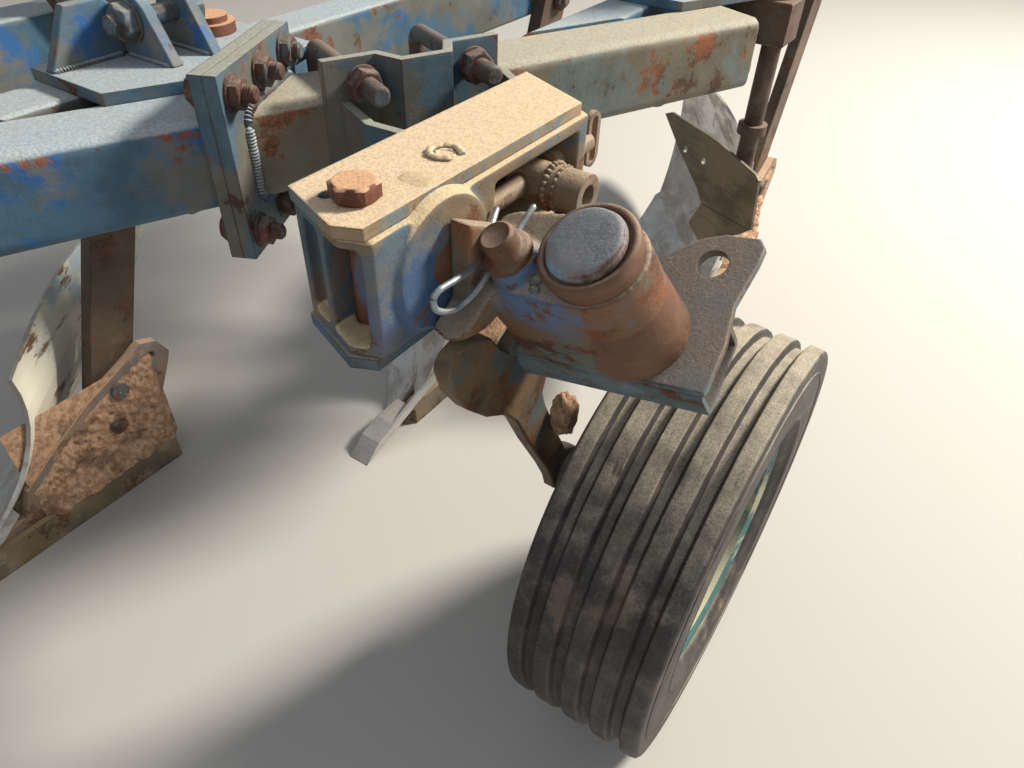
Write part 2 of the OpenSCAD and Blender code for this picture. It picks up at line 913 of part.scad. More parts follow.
module lock_pin() {
    color(rust) whole() in_tube() translate([-lock_d, 8, 0]) {
        translate([0, 0, 6 - tube_l]) cylinder(r = lock_r, h = tube_l + 22);
        translate([0, 0, 14.3]) cylinder(r = lock_r + 3, h = 12);
    }
}

box_l = 250;

module swivel_shaft() {
    color(rust) whole() in_tube() {
        translate([0, 0, -tube_l - seat]) cylinder(r = swivel_r, h = tube_l + 2 * seat);
        translate([0, 0, seat]) cylinder(r = 35, h = 9);
    }
}

LOCK_PLATE = [[-165, -72], [82, -72], [84, 58], [93, 126], [86, 136], [49, 140], [6, 119], [-40, 52], [-165, 44]];

module lock_plate() {
    color(rust) whole() in_tube() translate([0, 0, -tube_l - seat - 10]) difference() {
        linear_extrude(10) polygon(LOCK_PLATE);
        translate([-lock_d, 8, -1]) cylinder(r = lock_r + 1, h = 12);
        rotate([0, 0, -116]) translate([-lock_d, 8, -1]) cylinder(r = 15, h = 12);
    }
}

module swivel_box() {
    color(rust) whole() in_tube() translate([-165, -28, -tube_l - seat - 10 - 20]) difference() {
        rotate([90, 0, 90]) linear_extrude(253) box_ring(100, 40, 8, 9);
        translate([165 - lock_d, 36, -40]) cylinder(r = lock_r + 1, h = 80);
    }
}

module wheel_leg() {
    color(rust) whole() difference() {
        translate([528, 0, 0]) {
            side_plate([[30, 760], [150, 760], [178, 640], [230, 480], [272, 330], [262, 290], [227, 270],
                        [190, 290], [172, 400], [110, 520], [60, 600], [10, 640]], 24);
        }
        in_tube() translate([-500, -500, -tube_l - seat - 50]) cube([1000, 1000, 1000]);
        translate([500, wheel_y, tyre_r]) rod_x(axle_r, 100);
    }
}

module stub_axle() {
    color(dark) whole() translate([528, wheel_y, tyre_r]) {
        rod_x(axle_r - 0.05, wheel_x + rim_w / 2 - 528);
        translate([24.1, 0, 0]) rod_x(axle_r + 12, 20);
    }
}

// ---- nodes: wheel

module wheel_hub() {
    color(dark) whole() translate([wheel_x, wheel_y, tyre_r]) difference() {
        union() {
            translate([-95, 0, 0]) rod_x(42, 165);
            translate([-20, 0, 0]) rod_x(85, 12);
        }
        translate([-200, 0, 0]) rod_x(axle_r + run_fit - 0.05, 400);
    }
}

module wheel_disc() {
    color(green) whole() translate([wheel_x, wheel_y, tyre_r]) rotate([0, 90, 0]) {
        rotate_extrude() {
            polygon([[42.5, -8], [42.5, -1.7], [100, -1.7], [135, 30], [rim_r - 8.2, 34], [rim_r - 8.2, 26],
                     [139, 22], [104, -8]]);
        }
    }
}

module wheel_rim() {
    h = rim_w / 2;
    color(green) whole() translate([wheel_x, wheel_y, tyre_r]) rotate([0, 90, 0]) {
        rotate_extrude() {
            polygon([[rim_r - 8, -h], [rim_r + 12, -h - 6], [rim_r + 12, -h], [rim_r, -h + 6], [rim_r, h - 6],
                     [rim_r + 12, h], [rim_r + 12, h + 6], [rim_r - 8, h]]);
        }
    }
}

RIBS = 5;

module tyre() {
    half = tyre_w / 2;
    rib = (tyre_w - 4 * 17) / RIBS;
    h = rim_w / 2;
    color(rubber) whole() translate([wheel_x, wheel_y, tyre_r]) rotate([0, 90, 0]) {
        difference() {
            rotate_extrude($fn = 128) {
                polygon([[rim_r + 0.5, -h + 8], [rim_r + 13, -h + 2], [rim_r + 14, -h - 3], [rim_r + 40, -half + 6], [rim_r + 80, -half],
                         [tyre_r - 34, -half + 2], [tyre_r - 8, -half], [tyre_r, -half + 6],
                         [tyre_r, half - 6], [tyre_r - 8, half], [tyre_r - 34, half - 2],
                         [rim_r + 80, half], [rim_r + 40, half - 6], [rim_r + 14, h + 3], [rim_r + 13, h - 2], [rim_r + 0.5, h - 8],
                         [rim_r + 22, h - 12], [tyre_r - 40, half - 22], [tyre_r - 30, 0],
                         [tyre_r - 40, -half + 22], [rim_r + 22, -h + 12]]);
            }
            for (k = [1:RIBS - 1]) {
                translate([0, 0, -half + k * rib + (k - 1) * 17]) rotate_extrude($fn = 128) {
                    translate([tyre_r - groove, 0]) square([40, 17]);
                }
            }
        }
    }
}

// ---- nodes: headstock and stand

head_y = front_y - front_w;

module bearing_tube() {
    color(blue) whole() translate([turn_x, head_y - 309, mid_z]) difference() {
        rod_y(turn_r + 25, 288);
        translate([0, -1, 0]) rod_y(turn_r + run_fit, 300);
    }
}

module head_plate() {
    difference() {
        rotate([90, 0, 0]) translate([0, 0, -20]) linear_extrude(20) {
            polygon([[-260, -290], [-240, -310], [240, -310], [260, -290], [260, -210], [150, -60], [80, 240],
                     [50, 290], [-50, 290], [-80, 240], [-150, -60], [-260, -210]]);
        }
        translate([0, -1, 0]) rod_y(turn_r + 25 + seat, 22);
    }
}

module head_plates() {
    color(blue) whole() translate([turn_x, 0, mid_z]) {
        translate([0, head_y - 175 - 60, 0]) head_plate();
        translate([0, head_y - 175 + 40, 0]) head_plate();
    }
}

link_z = 560;

module cross_bar() {
    color(blue) whole() translate([turn_x, head_y - 175, link_z]) {
        translate([-link_gap / 2, -39.9, -40]) cube([link_gap, 79.8, 80]);
    }
}

module link_pins() {
    color(zinc) whole() translate([turn_x, head_y - 175, link_z]) {
        for (m = [0, 1]) {
            mirror([m, 0, 0]) translate([link_gap / 2, 0, 0]) rod_x(link_pin_r, 62);
        }
    }
}

module top_ears() {
    color(blue) whole() translate([turn_x, head_y - 175, link_z + mast_h]) {
        for (m = [0, 1]) {
            mirror([m, 0, 0]) translate([28, 0, 0]) difference() {
                side_plate([[-39.9, -160], [39.9, -160], [39.9, -20], [30, 42], [-30, 42], [-39.9, -20]], 18);
                translate([-1, 0, 0]) rod_x(top_pin_r, 20);
            }
        }
    }
}

stand_u = -1120;

module in_stand() {
    in_beam() translate([beam_top + 36, stand_u, 0]) children();
}

module stand_sleeve() {
    color(blue) whole() in_stand() difference() {
        translate([-36, -36, -90]) cube([72, 72, 180]);
        translate([-25.8, -25.8, -100]) cube([51.6, 51.6, 200]);
        rod_x(8 + run_fit, 60);
    }
}

module stand_leg() {
    color(rust) whole() in_stand() difference() {
        translate([-25, -25, 10 - mid_z]) cube([50, 50, mid_z + 120]);
        translate([-19, -19, 0 - mid_z]) cube([38, 38, mid_z + 160]);
    }
}

module stand_foot() {
    color(rust) whole() in_stand() translate([-70, -90, -mid_z]) cube([140, 180, 10]);
}

module stand_screw() {
    color(rust) whole() in_stand() {
        translate([25.3, 0, 0]) rod_x(8, 62);
        translate([78, 0, -60]) cylinder(r = 7, h = 120);
    }
}

beam_front();
beam_rear();
flange_front();
flange_rear();
flange_bolts();
carriers();
pivot_plates();
pivot_pins();
link_lugs();
link_bolts();
front_cross();
turn_shaft();
legs();
leg_bolts();
frogs();
frog_wings();
frog_bolts();
landsides();
shares();
points();
boards();
stays();
skim_clamp();
skim_stem();
skim_boards();
clamp_hat();
ubolts();
ubolt_nuts();
wheel_band();
carrier_top_plate();
carrier_bottom_plate();
carrier_casting();
carrier_bolt();
spindle();
stop_nut();
trunnion();
wheel_arm();
swivel_tube();
lock_pin();
swivel_shaft();
lock_plate();
swivel_box();
wheel_leg();
stub_axle();
wheel_hub();
wheel_disc();
wheel_rim();
tyre();
bearing_tube();
head_plates();
cross_bar();
link_pins();
top_ears();
stand_sleeve();
stand_leg();
stand_foot();
stand_screw();
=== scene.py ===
# %% [markdown]
# A reversible plough has two sets of bodies on one beam, one above the other, and a depth wheel
# that swings over to the other side when the plough is turned. The solids come from the packed
# CAD model as a fixed frame. This lesson gives them their finishes (faded paint, rust, dust,
# scoured steel, dusty rubber) and adds what is too small or too soft for the solids: the tread,
# the threads, the welds, the softened edges of the castings and the soil that still clings on.

# %% the frame
import math
from functools import partial
from statistics import NormalDist

import bmesh
import bpy
import numpy as np
from mathutils import Matrix, Vector


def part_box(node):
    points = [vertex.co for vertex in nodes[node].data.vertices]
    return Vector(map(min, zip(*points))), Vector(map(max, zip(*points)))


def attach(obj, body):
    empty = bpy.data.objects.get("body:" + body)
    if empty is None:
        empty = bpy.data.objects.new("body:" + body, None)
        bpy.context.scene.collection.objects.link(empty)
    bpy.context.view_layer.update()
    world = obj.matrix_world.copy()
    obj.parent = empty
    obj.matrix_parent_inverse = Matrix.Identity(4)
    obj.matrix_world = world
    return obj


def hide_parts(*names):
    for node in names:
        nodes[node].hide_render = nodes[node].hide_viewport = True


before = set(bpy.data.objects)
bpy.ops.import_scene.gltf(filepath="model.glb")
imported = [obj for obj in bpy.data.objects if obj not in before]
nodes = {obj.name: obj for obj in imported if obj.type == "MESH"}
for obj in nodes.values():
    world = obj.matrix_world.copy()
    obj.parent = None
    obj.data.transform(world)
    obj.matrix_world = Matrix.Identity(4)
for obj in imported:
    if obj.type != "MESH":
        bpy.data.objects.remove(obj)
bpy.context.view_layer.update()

scene = bpy.context.scene


def stand(name, data):
    """A new object in the scene."""
    made = bpy.data.objects.new(name, data)
    scene.collection.objects.link(made)
    return made


# %% [markdown]
# The camera stands where the photographer stood: above the beam's front left, looking back and
# down at the wheel. Its place, turn and focal length were worked out from the beam's parallel
# edges and the upright bolts, so the solids fall on the photograph's outlines.

# %% camera
low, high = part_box("tyre")
wheel_centre = (low + high) / 2
CAMERA_FROM_WHEEL = Vector((0.175, -0.733, 0.876))
TURN, TILT, ROLL = math.radians(33.0), math.radians(40.8), math.radians(1.9)
FOCAL_PX, PHOTO_PX, SENSOR_MM = 745.0, 1024, 36.0


def camera_axes():
    """Columns are right, up and back: the level right vector is turned about +Z by TURN, the view
    is tilted down by TILT, and both are rolled about the view by ROLL."""
    level = Vector((math.cos(TURN), math.sin(TURN), 0))
    flat = math.cos(TILT)
    ahead = Vector((-math.sin(TURN) * flat, math.cos(TURN) * flat, -math.sin(TILT)))
    above = level.cross(ahead)
    right = math.cos(ROLL) * level + math.sin(ROLL) * above
    up = math.cos(ROLL) * above - math.sin(ROLL) * level
    return Matrix((right, up, -ahead)).transposed().to_4x4()


camera_data = bpy.data.cameras.new("camera")
camera_data.sensor_width = SENSOR_MM
camera_data.lens = FOCAL_PX / PHOTO_PX * SENSOR_MM
camera_data.clip_start, camera_data.clip_end = 0.01, 100
camera = stand("camera", camera_data)
camera.matrix_world = Matrix.Translation(wheel_centre + CAMERA_FROM_WHEEL) @ camera_axes()
scene.camera = camera
scene.view_settings.view_transform = "Standard"
print("camera at", [round(v, 3) for v in camera.matrix_world.translation], "lens", camera_data.lens)

# %% [markdown]
# Shader maths reads best as plain expressions. A small class wraps one socket of a material's
# tree and overloads the operators, so that `1 - worn * dusty` adds its Math nodes. Every other
# node comes from one method that takes the node's type, settings and sockets.

# %% shader helpers


class Tone:
    """One number or colour that varies over a surface: a socket in a material's tree."""

    def __init__(self, tree, socket):
        self.tree, self.socket = tree, socket

    def math(self, operation, a, b=None):
        node = self.tree.nodes.new("ShaderNodeMath")
        node.operation = operation
        for slot, value in zip(node.inputs, (a, b)):
            if value is not None:
                feed(self.tree, slot, value)
        return Tone(self.tree, node.outputs[0])

    def __add__(self, other):
        return self.math("ADD", self, other)

    def __sub__(self, other):
        return self.math("SUBTRACT", self, other)

    def __rsub__(self, other):
        return self.math("SUBTRACT", other, self)

    def __mul__(self, other):
        return self.math("MULTIPLY", self, other)

    __radd__, __rmul__ = __add__, __mul__

    def size(self):
        return self.math("ABSOLUTE", self)

    def step(self, low, high):
        """0 below low, 1 above high and a smooth rise between, or the fall if low is the larger."""
        node = self.tree.nodes.new("ShaderNodeMapRange")
        node.interpolation_type = "SMOOTHSTEP"
        flip = low > high
        ends = {"From Min": min(low, high), "From Max": max(low, high), "To Min": float(flip),
                "To Max": float(not flip)}
        for name, value in {"Value": self, **ends}.items():
            feed(self.tree, node.inputs[name], value)
        return Tone(self.tree, node.outputs[0])


def feed(tree, slot, value):
    """Links a Tone to a socket, or sets the socket's own value."""
    if isinstance(value, Tone):
        tree.links.new(value.socket, slot)
    elif isinstance(value, (tuple, list)) and len(slot.default_value) == 4 and len(value) == 3:
        slot.default_value = (*value, 1)
    else:
        slot.default_value = value


def rgb(code):
    """A screen colour, two hex digits each of red, green and blue, as a shader's linear colour."""
    screen = [int(code[k:k + 2], 16) / 255 for k in (0, 2, 4)]
    return tuple(c / 12.92 if c <= 0.04045 else ((c + 0.055) / 1.055) ** 2.4 for c in screen)


def times(factor, colour):
    return tuple(factor * c for c in colour)


class Finish:
    """A material under construction: a Principled shader and the nodes that feed it."""

    def __init__(self, name):
        self.material = bpy.data.materials.new(name)
        self.material.use_nodes = True
        self.tree = self.material.node_tree
        self.shader = next(n for n in self.tree.nodes if n.type == "BSDF_PRINCIPLED")
        self.place = self.node("ShaderNodeTexCoord", out="Object")

    def node(self, kind, settings=None, out=0, **sockets):
        """Any node: its settings first, then its sockets by name with _ for a space or by number."""
        node = self.tree.nodes.new(kind)
        for key, value in (settings or {}).items():
            setattr(node, key, value)
        for key, value in sockets.items():
            slot = int(key[1:]) if key[1:].isdigit() else key.replace("_", " ")
            feed(self.tree, node.inputs[slot], value)
        return Tone(self.tree, node.outputs[out])

    def noise(self, scale, detail=4.0, rough=0.55, shift=0.0, warp=0.0, stretch=(1, 1, 1)):
        """Fractal noise on Object coordinates, moved by shift so that two of them differ."""
        place = self.place
        if shift or stretch != (1, 1, 1):
            place = self.node("ShaderNodeMapping", Vector=place, Scale=stretch,
                              Location=(shift, shift * 0.7, -shift))
        return self.node("ShaderNodeTexNoise", Vector=place, Scale=scale, Detail=detail, Roughness=rough,
                         Distortion=warp)

    def mix(self, share, first, second):
        return self.node("ShaderNodeMix", {"data_type": "RGBA"}, out=2, _0=share, _6=first, _7=second)

    def facing(self, axis):
        """How far a surface faces along one axis of its own object, from -1 to 1."""
        normal = self.node("ShaderNodeTexCoord", out="Normal")
        return self.node("ShaderNodeSeparateXYZ", out=axis, Vector=normal)

    def along(self, axis):
        """How far a point lies along one axis, in metres."""
        return self.node("ShaderNodeSeparateXYZ", out=axis, Vector=self.place)

    def near(self, point, radius):
        """1 at a point and 0 at radius from it, in metres."""
        gap = self.node("ShaderNodeVectorMath", {"operation": "DISTANCE"}, "Value",
                        _0=self.place, _1=tuple(point))
        return gap.step(radius, radius * 0.25)

    def soften(self, radius):
        """The surface's direction, rounded over within radius of an edge."""
        return self.node("ShaderNodeBevel", {"samples": 4}, Radius=radius)

    def edges(self, soft):
        """0 on a flat and up to 1 along an outer or inner edge."""
        hard = self.node("ShaderNodeNewGeometry", out="Normal")
        same = self.node("ShaderNodeVectorMath", {"operation": "DOT_PRODUCT"}, "Value", _0=soft, _1=hard)
        return ((1 - same) * 6.0).step(0.04, 0.9)

    def finish(self, colour, rough, metallic=0.0, height=None, depth=0.001, soft=None):
        """Feeds the shader; height is a bump of the given depth in metres over the soft direction."""
        for name, value in {"Base Color": colour, "Roughness": rough, "Metallic": metallic}.items():
            feed(self.tree, self.shader.inputs[name], value)
        if height is not None:
            sockets = {"Height": height, "Distance": depth, "Strength": 1.0}
            if soft is not None:
                sockets["Normal"] = soft
            feed(self.tree, self.shader.inputs["Normal"], self.node("ShaderNodeBump", **sockets))
        return self.material


def over(share, field, spread=0.085, soft=0.03):
    """The mask that covers a given share of the surface: field's values are close to a bell curve
    about 0.5, so the share gives the level where the mask starts."""
    level = NormalDist(0.5, spread).inv_cdf(min(max(1 - share, 0.001), 0.999))
    return field.step(level - soft, level + soft)


# %% [markdown]
# Farm paint fails in layers. It chalks and fades under a tan film of dried mud, chips along edges
# and around bolts, and rust spreads from each chip; dust then settles on whatever faces up. One
# builder makes every painted and rusted finish from those layers. Each layer is a share of the
# surface, cut out of its own fractal noise, so a finish is a short list of colours and shares.

# %% layered paint, rust and dust


def layered(name, film, paint, vivid, rust, deep, top, shares, dusty, edge_rust=0.5, scale=1.6,
            grain=1.0, bright=None, stripe=None, rough=0.62, edge=0.0035):
    """Film over paint by shares[0], vivid paint by shares[1], rust by shares[2]; dust of colour top
    grows with how far the surface faces up. bright is (point, radius) where the paint stays vivid,
    and stripe is (height, half width) of a band that has rusted."""
    f = Finish(name)
    first = f.noise(4.2 * scale, 9.0, 0.66, warp=0.3)
    second = f.noise(7.0 * scale, 8.0, 0.62, shift=3.1)
    third = f.noise(11.0 * scale, 8.0, 0.68, shift=7.7)
    grit = f.noise(330.0, 3.0, 0.7, shift=1.3)
    soft = f.soften(edge)
    worn_edge = f.edges(soft)
    filmed = over(shares[0], first, soft=0.045)
    tint = f.mix(third.step(0.40, 0.62), paint, times(0.72, paint))
    vivid_field = second * 0.8 + third * 0.2
    strong = over(shares[1], vivid_field, 0.075, 0.04)
    if bright is not None:
        kept = f.near(*bright)
        strong = (strong + kept * third.step(0.33, 0.50)).step(0.0, 1.0)
        filmed = filmed * (1 - kept * 0.85)
    tint = f.mix(strong, tint, vivid)
    film_tint = f.mix(second.step(0.36, 0.66), times(0.78, film), times(1.16, film))
    tint = f.mix(filmed * 0.92, tint, film_tint)
    rust_field = third * 0.7 + first * 0.3 + worn_edge * 0.16 * edge_rust
    if stripe is not None:
        band = (f.along(2) - stripe[0]).size().step(stripe[1], stripe[1] * 0.3)
        rust_field = rust_field + band * 0.075
    rusted = over(shares[2], rust_field, 0.075, 0.022)
    rust_tint = f.mix((grit * 0.35 + second * 0.65).step(0.42, 0.60), deep, rust)
    colour = f.mix(rusted, tint, rust_tint)
    colour = f.mix(worn_edge * third.step(0.42, 0.60) * 0.75 * edge_rust, colour, deep)
    upward = f.facing(2).step(0.30, 0.96)
    settled = upward * 0.80 + (first - 0.5) * 0.9 + (third - 0.5) * 0.9 + (dusty - 0.72)
    settled = settled.step(0.05, 0.62) * upward.step(0.0, 0.25)
    dust = f.mix(grit.step(0.30, 0.68), times(0.74, top), times(1.10, top))
    colour = f.mix(settled * min(0.62 + dusty * 0.3, 0.97), colour, dust)
    height = rusted * -0.25 + third * 0.55 * grain + grit * 0.40 * grain + second * 0.3
    return f.finish(colour, rusted * 0.15 + settled * 0.15 + rough, 0.0, height, 0.0011, soft)


# %% [markdown]
# Every painted part has weathered in its own way. The front of the beam keeps most of its blue and
# has rusted in a band along its upper edge; the rear length is bare tan and orange; what lies low
# is caked in soil; the boss under the wheel's arm keeps the brightest blue of all, where the arm
# has shaded it.

# %% finishes: paint and rust
# the plan's zero in metres, found from the wheel's middle, and two spots that kept their blue
ZERO = np.array(wheel_centre) - np.array([0.675, 0.227, 0.314])
BOSS = np.array([0.452, -0.070, 0.790]) + ZERO
FLAT = np.array([0.545, 0.012, 0.795]) + ZERO

COATS = {
    # name: film, paint, vivid paint, rust, deep rust and dust; shares of film, vivid paint and
    # rust; dustiness; the nodes that wear it; and what else is its own
    "beam_front_blue": ("6C6C66 4A6C82 2C629C 8C5640 54382E B6C2C6", (0.40, 0.26, 0.07), 0.80,
        "beam_front front_cross", dict(stripe=(0.852, 0.012), edge=0.006)),
    "beam_rear_tan": ("786E5A 707A76 608096 9A5E38 4E3A2C BAB4A2", (0.55, 0.05, 0.24), 0.72,
        "beam_rear", {}),
    "carrier_blue": ("6A6A62 486C84 32669E 845438 422C22 B6C2C6", (0.50, 0.18, 0.12), 0.66,
        "carriers pivot_plates", {}),
    "plate_faded_blue": (
        "6A665A 506876 366492 7A4E38 422C22 A8A89C", (0.50, 0.14, 0.13), 0.66,
        "flange_front flange_rear clamp_hat wheel_band carrier_bottom_plate bearing_tube "
        "head_plates cross_bar top_ears stand_sleeve", dict(edge_rust=0.8)),
    "lug_blue": ("707068 547082 2E6098 78503C 422C22 969C9C", (0.40, 0.26, 0.06), 0.58,
        "link_lugs", dict(edge_rust=0.6)),
    "top_plate_sand": ("968062 748284 5A768C 966A48 543E2E DEC6A4", (0.62, 0.06, 0.12), 1.15,
        "carrier_top_plate", dict(edge_rust=0.5, grain=1.5)),
    "casting_tan": ("806C52 5C6C74 385C86 80583A 463426 CEB892", (0.62, 0.10, 0.12), 1.0,
        "carrier_casting", dict(bright=(BOSS, 0.10), edge_rust=0.4, grain=1.6)),
    "arm_rust": ("765236 686E64 4A74A0 804E2E 483024 B0A08C", (0.58, 0.03, 0.30), 0.48,
        "wheel_arm", dict(bright=(FLAT, 0.085), grain=1.5)),
    "tube_rust": ("684834 74543E 686C68 7C4C30 4C342A A6907E", (0.50, 0.05, 0.34), 0.42,
        "swivel_tube lock_pin", dict(grain=1.1, edge_rust=0.7)),
    "cap_rust": ("887A74 88A4BA 6894BA 785C50 4A362E 969CA2", (0.30, 0.34, 0.16), 0.40,
        "swivel_shaft", dict(scale=2.0, edge_rust=0.8)),
    "bracket_rust": ("68584A 647478 708EA0 805034 3E2E28 A4968A", (0.46, 0.14, 0.26), 0.50,
        "lock_plate swivel_box", dict(edge_rust=1.0, grain=1.3)),
    "wheel_leg_rust": (
        "705A3E 566464 466880 885A34 483426 968468", (0.60, 0.07, 0.26), 0.5,
        "wheel_leg stub_axle wheel_hub trunnion stand_leg stand_foot "
        "stand_screw", dict(edge_rust=0.8, grain=1.3)),
    "red_rust": ("80523C 704432 9A684C 945C40 583428 E2B48E", (0.50, 0.20, 0.40), 0.75,
        "carrier_bolt pivot_pins", dict(scale=2.5, grain=1.3, edge_rust=0.5)),
    "bolt_rust": (
        "644C40 5C6264 5A7080 744A3A 402C26 8C7C6E", (0.45, 0.10, 0.42), 0.45,
        "flange_bolts turn_shaft leg_bolts frog_bolts ubolts "
        "ubolt_nuts", dict(scale=3.0, grain=1.4, edge_rust=0.8)),
    "link_bolt_metal": ("686056 647682 54748C 765844 483A32 96948C", (0.45, 0.18, 0.20), 0.5,
        "link_bolts", dict(scale=2.5, edge_rust=0.6, rough=0.5)),
    "stop_pipe_rust": ("8C7662 7E7060 6E7476 865C42 564032 B09C82", (0.55, 0.06, 0.30), 0.72,
        "stop_nut spindle", dict(scale=2.0, grain=1.4)),
    "body_leg_brown": ("5C4C3E 544438 645446 6C4A36 3A2C24 88705A", (0.55, 0.15, 0.28), 0.55,
        "legs stays skim_clamp skim_stem", dict(edge_rust=0.7)),
    "frog_soiled": ("8E7864 7C7068 968676 866048 5C4234 D8B698", (0.62, 0.20, 0.22), 0.95,
        "frogs frog_wings", dict(edge_rust=0.4, grain=1.6)),
    "landside_brown": ("847254 766A5A 968A76 78563C 4C3A2C A69270", (0.5, 0.2, 0.2), 0.62,
        "landsides", dict(rough=0.52)),
    "rim_green": ("B0AC92 3A6C6C 2C6876 70543C 40342C C6BEA4", (0.46, 0.20, 0.08), 0.80,
        "wheel_disc wheel_rim", dict(scale=1.8)),
}
for name, (colours, shares, dusty, _, own) in COATS.items():
    layered(name, *map(rgb, colours.split()), shares, dusty, **own)
print("painted and rusted finishes:", len(COATS))

# %% [markdown]
# Shares, points and moldboards are scoured bright by soil, then film over with brown streaks as
# they stand. The back of a moldboard is never scoured: it keeps pale chalky paint. The surface's
# own direction tells the two sides apart, because every board's back faces rearwards.

# %% scoured steel


def scoured(name, bright, dull, back, back_paint, metal, stain_share):
    """Soil runs lengthwise over a board, so the stains are noise stretched along it."""
    f = Finish(name)
    streak = f.noise(9.0, 8.0, 0.66, shift=2.0, warp=0.5, stretch=(0.8, 0.5, 2.6))
    patch = f.noise(6.0, 8.0, 0.64, shift=5.0)
    grit = f.noise(260.0, 3.0, 0.65)
    soft = f.soften(0.002)
    worn_edge = f.edges(soft)
    stained = over(stain_share, streak * 0.7 + patch * 0.3, 0.065, 0.05)
    front = f.mix(patch.step(0.38, 0.62), dull, bright)
    front = f.mix(stained * 0.62, front, f.mix(grit, rgb("786452"), rgb("9E8C78")))
    behind_colour = f.mix(over(0.34, patch, soft=0.05), back, back_paint)
    behind_colour = f.mix(over(0.10, streak, 0.08), behind_colour, rgb("7A5C44"))
    behind = f.facing(1).step(-0.05, 0.20)
    colour = f.mix(behind, front, behind_colour)
    colour = f.mix(worn_edge * grit.step(0.4, 0.6) * 0.5, colour, rgb("604A3A"))
    rough = 0.36 + stained * 0.26 + behind * 0.22
    metallic = (1 - behind) * (1 - stained * 0.7) * metal
    return f.finish(colour, rough, metallic, patch * 0.4 + grit * 0.35 + streak * 0.4, 0.0006, soft)


STEELS = {
    # name: bright and dull front, back and its paint; metal; share of stains
    "moldboard_steel": ("D0CECA ACA8A2 E2DECC B2C4CA", 0.45, 0.34),
    "share_steel": ("CECECC AAA8A4 968C7C 786E60", 0.45, 0.28),
    "skimmer_steel": ("706854 585240 787468 60584A", 0.30, 0.45),
}
for name, (colours, metal, stain_share) in STEELS.items():
    scoured(name, *map(rgb, colours.split()), metal, stain_share)
print("scoured finishes:", len(STEELS))

# %% [markdown]
# The zinc-plated pins and the clip are the only clean metal. The tyre is old rubber: dark
# grey-brown, polished by the ground and dusted pale where it faces the sky.

# %% zinc, rubber and soil


def zinc_plate():
    f = Finish("dull_zinc")
    patch, grit = f.noise(60.0, 5.0), f.noise(600.0, 2.0)
    colour = f.mix(patch.step(0.35, 0.7), rgb("8A9298"), rgb("B8BEC2"))
    colour = f.mix((patch * 0.5 + grit * 0.5).step(0.52, 0.66) * 0.6, colour, rgb("787066"))
    return f.finish(colour, 0.36 + patch * 0.2, 0.6, grit, 0.0002)


def old_rubber():
    f = Finish("old_tyre_rubber")
    broad, patch = f.noise(5.0, 8.0, 0.66, shift=4.0), f.noise(22.0, 8.0, 0.66)
    grit = f.noise(480.0, 3.0, 0.7)
    upward = f.facing(2).step(0.10, 0.92)
    film = (upward * 1.15 + (broad - 0.5) * 0.9 + (patch - 0.5) * 0.9).step(0.58, 1.45)
    rubber = f.mix(patch.step(0.36, 0.64), rgb("322E2C"), rgb("4A4644"))
    rubber = f.mix(over(0.16, broad * 0.4 + patch * 0.6, 0.075), rubber, rgb("625448"))
    dust = f.mix(grit.step(0.35, 0.65), rgb("968C7C"), rgb("CCC0A8"))
    colour = f.mix(film * 0.90, rubber, dust)
    colour = f.mix(over(0.05, grit, 0.09, 0.02) * 0.6, colour, rgb("968270"))
    return f.finish(colour, film * 0.2 + 0.62, 0.0, patch * 0.7 + grit * 0.5, 0.0007)


def caked_soil():
    f = Finish("caked_soil")
    broad, crumb = f.noise(14.0, 8.0, 0.66), f.noise(85.0, 6.0, 0.7, shift=2.0)
    grit = f.noise(500.0, 3.0, 0.7)
    colour = f.mix(crumb.step(0.36, 0.64), rgb("9E7A5E"), rgb("D0AA8A"))
    colour = f.mix(over(0.22, broad, soft=0.05) * 0.7, colour, rgb("6C5442"))
    return f.finish(colour, 0.95, 0.0, crumb * 1.0 + grit * 0.5 + broad, 0.0028)


for make in (zinc_plate, old_rubber, caked_soil):
    print(make().name, "made")

# %% finishes on the CAD nodes
WORN_BY = {name: row[3] for name, row in COATS.items()} | {
    "moldboard_steel": "boards", "share_steel": "shares points", "skimmer_steel": "skim_boards",
    "dull_zinc": "link_pins", "old_tyre_rubber": "tyre"}
for finish, names in WORN_BY.items():
    for name in names.split():
        nodes[name].data.materials.clear()
        nodes[name].data.materials.append(bpy.data.materials[finish])
print("nodes without a finish:", sorted(set(nodes) - set(" ".join(WORN_BY.values()).split())))

# %% [markdown]
# Small pieces are measured in the part's own local frames: along the beam, square to its bolted
# joint, on the swivel's inclined axis, or at one plough body. A frame here is an origin in
# millimetres and three axes; it turns an array of local points into places in metres.

# %% local frames


def spin(axis, degrees):
    """A turn about x, y or z (axis 0, 1 or 2) as the three turned axes in columns."""
    c, s = math.cos(math.radians(degrees)), math.sin(math.radians(degrees))
    a, b = (axis + 1) % 3, (axis + 2) % 3
    turn = np.eye(3)
    turn[a, a], turn[b, b], turn[b, a], turn[a, b] = c, c, s, -s
    return turn


spin_x, spin_y, spin_z = (partial(spin, axis) for axis in range(3))


class Place:
    """A local frame: its origin in millimetres and its axes as columns."""

    def __init__(self, origin, axes=np.eye(3)):
        self.origin, self.axes = np.array(origin, float), np.array(axes, float)

    def at(self, x, y, z, axes=np.eye(3)):
        """The frame moved by x, y, z along its own axes and then turned."""
        return Place(self.origin + self.axes @ np.array([x, y, z], float), self.axes @ axes)

    def put(self, points):
        return (np.asarray(points, float) @ self.axes.T + self.origin) / 1000 + ZERO


